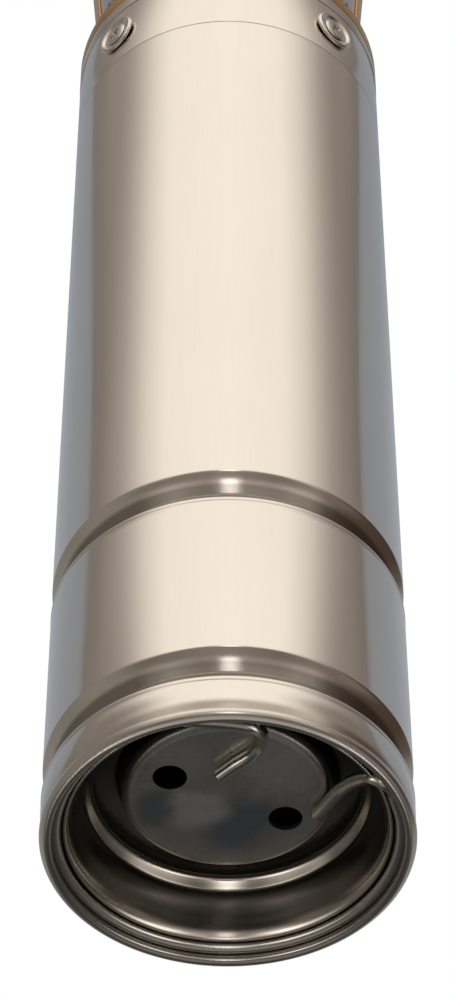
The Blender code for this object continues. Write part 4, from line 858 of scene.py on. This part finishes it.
def gland():
    """The cable's rubber gland with its hexagonal nut, at the back of the flange."""
    body = lathe("gland", soften([
        (4.2, 327.3), (5.0, 322.3), (5.0, 304.75), (3.3, 304.75), (3.3, 327.3),
    ], 0.5), 64)
    nut = prism("gland_nut_form", circle(6.6, range(0, 360, 60)), 317.3, 322.3)
    bore = cylinder("gland_bore", 4.0, 12.0, (0, 0, 320.0))
    combine(nut, [bore], "DIFFERENCE")
    combine(body, [nut], "UNION")
    body.data.transform(Matrix.Translation((0, GLAND_Y * MM, 0)))
    dress(body, "rubber", "cable_gland", sharp=32.0)


SCREEN_PITCH = 4.0
SCREEN_HOLE_R = 1.15
SCREEN_MARGIN = 2.6
SCREEN_INSET = 0.6


class Sheet:
    """Faces of a sheet bent to the bracket's cone, laid out in mm along its arc and its height."""

    def __init__(self, start, end, width):
        self.start, self.end, self.width = start, end, width
        self.index, self.vertices, self.faces = {}, [], []

    def vertex(self, s, z):
        key = (round(s, 3), round(z, 3))
        if key not in self.index:
            self.index[key] = len(self.vertices)
            azimuth = self.start + (self.end - self.start) * s / self.width
            self.vertices.append(spot(azimuth, cone_r(z) - SCREEN_INSET, z) * MM)
        return self.index[key]

    def face(self, corners):
        self.faces.append(tuple(self.vertex(s, z) for s, z in corners))

    def patch(self, s0, s1, z0, z1, across=1, up=1):
        """A plain stretch of so many faces across and up."""
        for i in range(across):
            for j in range(up):
                a0, a1 = (s0 + (s1 - s0) * k / across for k in (i, i + 1))
                b0, b1 = (z0 + (z1 - z0) * k / up for k in (j, j + 1))
                self.face([(a0, b0), (a1, b0), (a1, b1), (a0, b1)])

    def cell(self, s, z, step):
        """One round hole in its stretch of sheet."""
        quarter = SCREEN_PITCH / 4
        right, top = s + SCREEN_PITCH, z + step
        rim = [(s + quarter * k, z) for k in range(4)] + [(right, z), (right, z + step / 2)]
        rim += [(right - quarter * k, top) for k in range(4)]
        rim += [(s, top), (s, z + step / 2)]
        middle = (s + SCREEN_PITCH / 2, z + step / 2)
        hole = []
        for x, y in rim:
            angle = math.atan2(y - middle[1], x - middle[0])
            hole.append((middle[0] + SCREEN_HOLE_R * math.cos(angle),
                         middle[1] + SCREEN_HOLE_R * math.sin(angle)))
        for k in range(12):
            n = (k + 1) % 12
            self.face([rim[k], rim[n], hole[n], hole[k]])


def screen(name, span, node_name):
    """A perforated strainer in a window, with staggered rows of round holes."""
    low, high = WINDOW_Z[0] + 0.3, WINDOW_Z[1] - 0.3
    edge = math.degrees(SCREEN_INSET / CONE_R[0])
    start, end = span[0] + edge, span[1] - edge
    width = math.radians(end - start) * WINDOW_R
    clear = high - low - 2 * SCREEN_MARGIN
    columns = int((width - 2 * SCREEN_MARGIN) / SCREEN_PITCH)
    rows = int(clear / (SCREEN_PITCH * 0.866)) // 2 * 2 + 1
    step = clear / rows
    left = (width - columns * SCREEN_PITCH) / 2
    right = left + columns * SCREEN_PITCH
    sheet = Sheet(start, end, width)
    for row in range(rows):
        z = low + SCREEN_MARGIN + row * step
        staggered = row % 2 == 1
        first = left + (SCREEN_PITCH / 2 if staggered else 0)
        for column in range(columns - staggered):
            sheet.cell(first + column * SCREEN_PITCH, z, step)
        if staggered:
            sheet.patch(left, left + SCREEN_PITCH / 2, z, z + step, 2, 2)
            sheet.patch(left + (columns - 0.5) * SCREEN_PITCH, right, z, z + step, 2, 2)
        sheet.patch(0, left, z, z + step, 1, 2)
        sheet.patch(right, width, z, z + step, 1, 2)
    for z0, z1 in ((low, low + SCREEN_MARGIN), (high - SCREEN_MARGIN, high)):
        sheet.patch(0, left, z0, z1)
        sheet.patch(left, right, z0, z1, 4 * columns)
        sheet.patch(right, width, z0, z1)
    obj = new_object(name, sheet.vertices, sheet.faces)
    solid = obj.modifiers.new("thickness", "SOLIDIFY")
    solid.thickness = 1.0 * MM
    solid.offset = -1.0
    apply_modifiers(obj)
    dress(obj, "stainless_pressing", node_name, sharp=35.0)


# Casing, discharge head and check valve


def casing():
    piece = lathe("casing", tube(45.0, 43.5, *CASING, 0.3))
    dress(piece, "stainless_tube", "pump_casing", sharp=30.0)


THREAD_PITCH = 2.309
THREAD_DEPTH = 1.2
THREAD_STEEPNESS = 2.6
THREAD_CREST = 0.15
THREAD_Z = (566.0, 592.5)


def thread_radius(r, z, angle):
    """The outlet's internal thread: its crests stand at the bore's radius."""
    low, high = THREAD_Z
    if r != OUTLET_R or not low <= z <= high:
        return r
    phase = (z / THREAD_PITCH - angle / (2 * math.pi)) % 1.0
    height = min(1.0, max(0.0, THREAD_STEEPNESS * abs(phase - 0.5) - THREAD_CREST))
    fade = min(1.0, (z - low) / THREAD_PITCH, (high - z) / THREAD_PITCH)
    return r + THREAD_DEPTH * height * fade


def spokes(name, inner, outer, half, low, high):
    """Three radial arms between two radii."""
    arms = []
    for i in range(3):
        turn = Matrix.Rotation(2 * math.pi * (i + 0.25) / 3, 2)
        corners = [(inner, -half), (outer, -half), (outer, half), (inner, half)]
        outline = [tuple(turn @ Vector(corner)) for corner in corners]
        arms.append(prism(f"{name}_{i}", outline, low, high))
    return arms


def eye_hole(side):
    """The cutter of a rope eye, with flared ends."""
    profile = flow([(6.2, 6.0), (5.7, 4.6), (4.9, 3.9), (4.5, 3.0), (4.5, 0.0), (4.5, -3.0),
                    (4.9, -3.9), (5.7, -4.6), (6.2, -6.0)], 3)
    hole = lathe(f"eye_hole_{side}", [(0, 6.0), *profile, (0, -6.0)], 48)
    hole.data.transform(facing((side * EYE_X, 0, EYE_Z), (0, 1, 0)))
    return hole


def discharge_head():
    """The cast head: threaded outlet, rope eyes, and the spokes that carry the top bush."""
    low, high = THREAD_Z
    steps = int((high - low) / THREAD_PITCH * 8)
    thread = [(OUTLET_R, low + (high - low) * k / steps) for k in range(steps + 1)]
    outside = soften([
        (20.6, HEAD_TOP, 0.3), (26.0, HEAD_TOP, 0.8), (26.0, 561.7, 2.5), (28.0, 557.7, 2.0),
        (45.0, 539.7, 2.0), (45.0, HEAD_SHOULDER, 0.4), (43.2, HEAD_SHOULDER),
        (43.2, HEAD_FOOT_Z), (40.0, HEAD_FOOT_Z), (40.0, 529.4, 3.0), (15.0, 547.7, 0.4),
        (15.0, OUTLET_FLOOR, 0.3), (OUTLET_R + 0.001, OUTLET_FLOOR, 0.4),
        (OUTLET_R + 0.001, 565.5, 0),
    ], 0.4, 4)
    head = lathe("outlet_head", outside + thread, FINE, thread_radius)
    carrier = lathe("bush_carrier", tube(11.6, 8.2, 509.6, 527.2), 64)
    arms = spokes("spoke", 10.6, 41.0, 2.0, 510.6, 520.6)
    combine(head, [*arms, carrier, *(lug(side) for side in (-1, 1))], "UNION")
    combine(head, [eye_hole(side) for side in (-1, 1)], "DIFFERENCE")
    dress(head, "brass", "discharge_head", sharp=35.0)


def round_rims(shape):
    rims = [e for e in shape.edges if abs(e.verts[0].co.z - e.verts[1].co.z) < 1e-7]
    bmesh.ops.bevel(shape, geom=rims, offset=0.9 * MM, segments=3, affect="EDGES", profile=0.5)


def lug(side):
    """A rope eye's lug with rounded edges and a root that runs into the collar."""
    radius, half = 8.6, 4.5
    outline = circle(radius, range(-90, 91, 6)) + [(-13.0, radius), (-13.0, -radius)]
    piece = prism(f"lug_{side}", outline, -half, half)
    edit_mesh(piece.data, round_rims)
    turn = Matrix.Rotation(math.radians(90), 4, "X")
    if side < 0:
        turn = Matrix.Rotation(math.pi, 4, "Z") @ turn
    piece.data.transform(Matrix.Translation((side * EYE_X * MM, 0, EYE_Z * MM)) @ turn)
    return piece


def valve_guide():
    ring = lathe("valve_guide", tube(19.2, 16.8, 571.7, 575.7, 0.4), MEDIUM)
    hub = lathe("guide_hub", tube(4.6, 2.3, 571.7, 575.7, 0.4), 48)
    combine(ring, [*spokes("guide_arm", 3.6, 18.2, 1.2, 572.2, 575.2), hub], "UNION")
    dress(ring, "brass", "check_valve_guide", sharp=32.0)


def valve_poppet():
    """The poppet with its stem, and the seal it carries."""
    poppet = lathe("valve_poppet", soften([
        (0.0, 577.2), (2.0, 577.2, 0.6), (2.0, 558.8, 1.0), (3.5, 556.6, 0.8), (16.8, 556.6, 0.5),
        (17.8, 555.6, 0.4), (17.8, 554.1, 0.2), (13.0, 554.1), (13.0, 549.3, 1.0), (10.0, 547.3, 1.0),
        (0.0, 547.3),
    ], 0.3), MEDIUM)
    dress(poppet, "brass", "check_valve_poppet", body=VALVE, sharp=35.0)
    seal = lathe("valve_seal", tube(17.8, 13.3, 551.0, 553.8, 0.5), MEDIUM)
    dress(seal, "rubber", "check_valve_seal", body=VALVE)


def valve_spring():
    """The coil over the poppet, squeezed as the valve lifts."""
    turns, per_turn, coil_r, foot, rise = 3, 24, 6.6, 557.5, 13.3
    points = []
    for i in range(turns * per_turn + 1):
        angle = 2 * math.pi * i / per_turn
        share = i / (turns * per_turn)
        points.append((coil_r * math.cos(angle), coil_r * math.sin(angle), foot + rise * share))
    coil = round_wire("valve_coil", points, 0.6, 12)
    dress(coil, "spring_steel", "check_valve_spring")
    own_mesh(coil)


# Studio: angles in degrees, distances in metres

DEGREES = 180.0 / math.pi
WHITE = (1.0, 1.0, 1.0, 1.0)


def azimuth_of(tree, parts):
    """The azimuth of a place whose coordinates are given."""
    angle = math_node(tree, "ARCTAN2", parts[0], times(tree, parts[1], -1.0))
    return times(tree, angle, DEGREES)


def sky_position(tree):
    """Azimuth and elevation of a direction seen from the pump."""
    parts = coordinates(tree, vector_node(tree, "NORMALIZE", object_place(tree)))
    return azimuth_of(tree, parts), times(tree, math_node(tree, "ARCSINE", parts[2]), DEGREES)


def colour_by(tree, value, stops):
    """A colour ramp; its stops are (value, red, green, blue), the first and last at its limits."""
    low, high = stops[0][0], stops[-1][0]
    share = node(tree, "MapRange", value=value, from_min=low, from_max=high).outputs[0]
    made = node(tree, "ValToRGB", fac=share)
    elements = made.color_ramp.elements
    for i, (at, *colour) in enumerate(stops):
        position = (at - low) / (high - low)
        element = elements[i] if i < 2 else elements.new(position)
        element.position = position
        element.color = (*colour, 1.0)
    return made.outputs["Color"]


def stage_material(mesh, name):
    """Puts a new material with an empty node tree on a mesh."""
    material = bpy.data.materials.new(name)
    material.use_nodes = True
    material.node_tree.nodes.clear()
    mesh.materials.append(material)
    return material.node_tree


def mix_shader(tree, factor, first, second):
    made = node(tree, "MixShader")
    for socket, source in zip(made.inputs, (factor, first, second)):
        tree.links.new(source, socket)
    return made.outputs[0]


def surface(tree, shader, kind="OutputMaterial"):
    tree.links.new(shader, node(tree, kind).inputs["Surface"])


# The tent's colours by azimuth: above the horizon, below it, and lowest of all
HIGH_BAND = [
    (-180, 0.40, 0.43, 0.47), (-165, 0.36, 0.39, 0.43), (-140, 0.31, 0.335, 0.37),
    (-114, 0.29, 0.31, 0.34), (-111, 0.22, 0.20, 0.185), (-98, 0.25, 0.225, 0.205),
    (-88, 0.32, 0.29, 0.26), (-78, 0.43, 0.395, 0.36), (-68, 0.62, 0.585, 0.54),
    (-58, 0.86, 0.82, 0.76), (-44, 1.08, 1.03, 0.97), (0, 1.14, 1.09, 1.03),
    (40, 1.08, 1.03, 0.97), (56, 0.84, 0.80, 0.74), (66, 0.60, 0.565, 0.52),
    (76, 0.41, 0.375, 0.34), (86, 0.30, 0.27, 0.245), (98, 0.235, 0.21, 0.19),
    (105, 0.20, 0.18, 0.165), (108, 0.29, 0.31, 0.34), (140, 0.31, 0.335, 0.37),
    (165, 0.37, 0.40, 0.44), (180, 0.40, 0.43, 0.47),
]
LOW_BAND = [
    (-180, 0.065, 0.066, 0.066), (-160, 0.075, 0.075, 0.073), (-145, 0.16, 0.16, 0.155),
    (-122, 0.125, 0.123, 0.118), (-100, 0.11, 0.10, 0.09), (-84, 0.125, 0.113, 0.10),
    (-72, 0.125, 0.113, 0.10), (-52, 0.13, 0.117, 0.10), (-42, 0.24, 0.217, 0.19),
    (-32, 0.34, 0.31, 0.28), (-14, 0.24, 0.215, 0.19), (0, 0.27, 0.245, 0.215),
    (16, 0.31, 0.28, 0.25), (28, 0.27, 0.245, 0.215), (40, 0.33, 0.30, 0.27),
    (49, 0.29, 0.26, 0.23), (58, 0.12, 0.105, 0.09), (66, 0.065, 0.05, 0.042),
    (80, 0.036, 0.026, 0.02), (110, 0.036, 0.024, 0.018), (124, 0.06, 0.052, 0.045),
    (134, 0.16, 0.155, 0.145), (158, 0.16, 0.155, 0.15), (180, 0.065, 0.066, 0.066),
]
DEEP_BAND = [
    (-180, 0.065, 0.066, 0.066), (-130, 0.10, 0.10, 0.10), (-100, 0.24, 0.225, 0.21),
    (-80, 0.23, 0.215, 0.20), (-62, 0.20, 0.185, 0.17), (-48, 0.155, 0.14, 0.125),
    (-28, 0.20, 0.18, 0.16), (0, 0.25, 0.225, 0.20), (28, 0.175, 0.155, 0.14),
    (48, 0.19, 0.17, 0.15), (60, 0.15, 0.13, 0.115), (72, 0.20, 0.185, 0.17),
    (96, 0.24, 0.225, 0.21), (130, 0.09, 0.09, 0.09), (180, 0.065, 0.066, 0.066),
]

# Elevations between which one part of the tent gives way to another
UPPER_RISE = (5.0, 27.0)
ZENITH_RISE = (62.0, 88.0)
DEEP_FALL = (-12.0, -30.0)
NADIR_FALL = (-46.0, -56.0)
GROUND_FALL = (-50.0, -61.0)
LOW_BRIGHTENING = (-30.0, -12.0)
ZENITH = (0.50, 0.46, 0.42, 1.0)
NADIR = (0.066, 0.066, 0.066, 1.0)
GROUND = (0.44, 0.425, 0.41, 1.0)
GROUND_SIDE = (152.0, 120.0)

# The upper band spreads sideways: its front part as it nears the horizon, its edges the other way
LEAN = 0.43
LEAN_ALWAYS = 0.02
LEAN_FALL = (49.0, 36.0)
LEAN_SIDE = (106.0, 62.0)
EDGE_LEAN = (0.07, -0.13)
EDGE_RISE = (47.0, 56.0)
EDGE_SIDE = (84.0, 106.0)

# A bright column in front, below the horizon
COLUMN = (2.6, 2.5, 2.4, 1.0)
COLUMN_AZIMUTH = 1.2
COLUMN_SIDE = (7.5, 1.5)
COLUMN_FOOT = (-28.0, -17.0)
COLUMN_TOP = (0.0, -7.0)

# The low card: its glow by azimuth, and its near and far edges
CARD_GLOW = [
    (-112, 0.0, 0.0, 0.0), (-100, 0.45, 0.42, 0.4), (-86, 0.9, 0.85, 0.8),
    (-76, 1.3, 1.2, 1.15), (-65, 2.1, 2.0, 1.9), (-55, 3.0, 2.9, 2.8),
    (-43, 2.9, 2.8, 2.7), (-34, 2.1, 2.0, 1.9), (-24, 0.9, 0.85, 0.8),
    (-12, 1.3, 1.25, 1.2), (-4, 5.5, 5.35, 5.2), (4, 5.5, 5.35, 5.2),
    (14, 1.4, 1.3, 1.2), (28, 0.7, 0.65, 0.6), (39, 1.7, 1.6, 1.5), (50, 2.8, 2.7, 2.6),
    (61, 2.9, 2.8, 2.7), (71, 2.4, 2.3, 2.2), (82, 1.7, 1.6, 1.5), (92, 0.9, 0.85, 0.8),
    (102, 0.4, 0.37, 0.35), (112, 0.0, 0.0, 0.0),
]
CARD_SPAN = 112.0
CARD_REACH = (0.050, 0.100)
CARD_HEIGHT = (-0.047, -0.133)
CARD_FADE_R = (0.060, 0.074)
CARD_STRENGTH = (1.3, 0.3)
CARD_LIFT = (0.004, 0.036)
CARD_LIFT_SIDE = (10.0, 24.0)


def card_lift(azimuth):
    """The card stands higher to the sides than at its middle."""
    start, end = CARD_LIFT_SIDE
    share = min(1.0, max(0.0, (abs(azimuth) - start) / (end - start)))
    return CARD_LIFT[0] + (CARD_LIFT[1] - CARD_LIFT[0]) * share * share * (3.0 - 2.0 * share)


def leaned(tree, azimuth, elevation, side):
    """The azimuth at which the upper band's colour is read."""
    lean = times(tree, ease(tree, elevation, *LEAN_FALL), LEAN)
    lean = math_node(tree, "ADD", lean, LEAN_ALWAYS)
    lean = times(tree, lean, ease(tree, side, *LEAN_SIDE))
    edge = between(tree, ease(tree, elevation, *EDGE_RISE), *EDGE_LEAN)
    edge = times(tree, edge, ease(tree, side, *EDGE_SIDE))
    factor = math_node(tree, "ADD", math_node(tree, "ADD", lean, 1.0), edge)
    return times(tree, factor, azimuth)


def lower_sky(tree, azimuth, elevation):
    low = colour_by(tree, azimuth, LOW_BAND)
    deep = colour_by(tree, azimuth, DEEP_BAND)
    low = blend(tree, ease(tree, elevation, *DEEP_FALL), low, deep)
    low = blend(tree, ease(tree, elevation, *NADIR_FALL), low, NADIR)
    level = math_node(tree, "ADD", 1.0, ease(tree, elevation, *LOW_BRIGHTENING))
    return vector_node(tree, "SCALE", low, level)


def tent_colour(tree):
    azimuth, elevation = sky_position(tree)
    side = math_node(tree, "ABSOLUTE", azimuth)
    high = colour_by(tree, leaned(tree, azimuth, elevation, side), HIGH_BAND)
    low = lower_sky(tree, azimuth, elevation)
    sky = blend(tree, ease(tree, elevation, *UPPER_RISE), low, high)
    sky = blend(tree, ease(tree, elevation, *ZENITH_RISE), sky, ZENITH)
    ground = times(tree, ease(tree, elevation, *GROUND_FALL),
                   ease(tree, side, *GROUND_SIDE))
    sky = blend(tree, ground, sky, GROUND)
    off = math_node(tree, "ABSOLUTE", math_node(tree, "SUBTRACT", azimuth, COLUMN_AZIMUTH))
    column = times(tree, ease(tree, off, *COLUMN_SIDE),
                   ease(tree, elevation, *COLUMN_FOOT),
                   ease(tree, elevation, *COLUMN_TOP))
    return blend(tree, column, sky, COLUMN)


def light_tent():
    """A tent of cards round the pump, seen only in its reflections."""
    mesh = bpy.data.meshes.new("light_tent")
    edit_mesh(mesh, lambda shape: bmesh.ops.create_uvsphere(
        shape, u_segments=64, v_segments=32, radius=9.0))
    tree = stage_material(mesh, "tent_cards")
    emission = node(tree, "Emission", color=tent_colour(tree), strength=1.0)
    surface(tree, emission.outputs[0])
    tent = link("light_tent", mesh)
    tent.location = (0, 0, 0.25)
    glossy_only(tent)


def card_mesh():
    """Part of a cone round the Z axis, wider and lower at its far edge."""
    rings, count = 6, 101
    vertices, faces = [], []
    for k in range(rings + 1):
        reach, height = (a + (b - a) * k / rings for a, b in (CARD_REACH, CARD_HEIGHT))
        for i in range(count):
            azimuth = CARD_SPAN * (2 * i / (count - 1) - 1)
            vertices.append(spot(azimuth, reach, height + card_lift(azimuth)))
    for k in range(rings):
        for i in range(count - 1):
            a = k * count + i
            faces.append((a, a + 1, a + count + 1, a + count))
    mesh = bpy.data.meshes.new("low_card")
    mesh.from_pydata(vertices, [], faces)
    return mesh


def low_card():
    """A card below the mouth whose inner side glows in the reflections; its outer side is clear."""
    mesh = card_mesh()
    tree = stage_material(mesh, "card_glow")
    parts = coordinates(tree, object_place(tree))
    glow = colour_by(tree, azimuth_of(tree, parts), CARD_GLOW)
    far = ease(tree, axis_distance(tree, parts), *CARD_FADE_R)
    emission = node(tree, "Emission", color=glow,
                    strength=between(tree, far, *CARD_STRENGTH)).outputs[0]
    clear = node(tree, "BsdfTransparent").outputs[0]
    outside = node(tree, "NewGeometry").outputs["Backfacing"]
    surface(tree, mix_shader(tree, outside, emission, clear))
    glossy_only(link("low_card", mesh))


def glossy_only(obj):
    """A stage card that shows in reflections and nowhere else."""
    obj.visible_camera = False
    obj.visible_diffuse = False
    obj.visible_shadow = False
    obj.visible_transmission = False
    obj.visible_volume_scatter = False


def floor():
    """A pale floor that is see-through from below, where the photograph is taken from."""
    mesh = bpy.data.meshes.new("floor")
    edit_mesh(mesh, lambda shape: bmesh.ops.create_circle(
        shape, cap_ends=True, segments=96, radius=12.0))
    tree = stage_material(mesh, "pale_floor")
    place = object_place(tree)
    paint = tones(tree, noise(tree, place, 40.0), (0.80, 0.80, 0.80), (0.84, 0.84, 0.84))
    matt = node(tree, "BsdfDiffuse", color=paint).outputs[0]
    white = node(tree, "Emission", color=WHITE, strength=1.0).outputs[0]
    far = ease(tree, vector_node(tree, "LENGTH", place), 0.5, 3.0)
    seen = mix_shader(tree, far, matt, white)
    below = node(tree, "NewGeometry").outputs["Backfacing"]
    rays = node(tree, "LightPath").outputs
    gap = math_node(tree, "MAXIMUM", below, rays["Is Shadow Ray"])
    clear = node(tree, "BsdfTransparent").outputs[0]
    surface(tree, mix_shader(tree, gap, seen, clear))
    obj = link("floor", mesh)
    obj.location.z = -0.0002
    obj.visible_glossy = False


def world():
    """White to the camera and in reflections, and a dim even light on the pump."""
    made = bpy.data.worlds.new("studio")
    bpy.context.scene.world = made
    made.use_nodes = True
    tree = made.node_tree
    tree.nodes.clear()
    rays = node(tree, "LightPath").outputs
    seen = math_node(tree, "MAXIMUM", rays["Is Camera Ray"], rays["Is Glossy Ray"])
    seen = math_node(tree, "MAXIMUM", seen, rays["Is Transmission Ray"])
    strength = between(tree, seen, 0.45, 1.0)
    background = node(tree, "Background", color=WHITE, strength=strength)
    surface(tree, background.outputs[0], "OutputWorld")


def soft_lamp(name, place, size, power):
    """A round lamp that points at the pump's middle and doesn't show in reflections."""
    data = bpy.data.lights.new(name, "AREA")
    data.shape = "DISK"
    data.size = size
    data.energy = power
    lamp = link(name, data)
    lamp.location = place
    lamp.rotation_euler = (Vector((0, 0, 0.3)) - Vector(place)).to_track_quat("-Z", "Y").to_euler()
    lamp.visible_glossy = False
    lamp.visible_camera = False


def camera():
    """The photograph's viewpoint: in front of the foot and below it."""
    data = bpy.data.cameras.new("photo_camera")
    data.sensor_width = 36.0
    data.lens = 121.57
    data.clip_start = 0.05
    data.clip_end = 60.0
    obj = link("photo_camera", data)
    obj.location = (0.0, -0.5998, -0.5374)
    obj.rotation_euler = (math.radians(137.74), 0.0, 0.0)
    bpy.context.scene.camera = obj


def build():
    dress_cad_nodes()
    motor_shell()
    snap_ring()
    clamp_ring()
    end_cover()
    sleeve()
    sleeve_fasteners()
    motor_head()
    intake()
    gland()
    for name, span in WINDOWS.items():
        screen(f"screen_{name}", span, f"strainer_{name}")
    casing()
    discharge_head()
    valve_guide()
    valve_poppet()
    valve_spring()
    light_tent()
    low_card()
    floor()
    world()
    soft_lamp("key_lamp", (-1.2, -2.0, 2.4), 1.6, 60.0)
    soft_lamp("fill_lamp", (1.8, -1.2, 1.2), 1.2, 20.0)
    camera()
    bpy.context.scene.view_settings.view_transform = "Standard"


build()
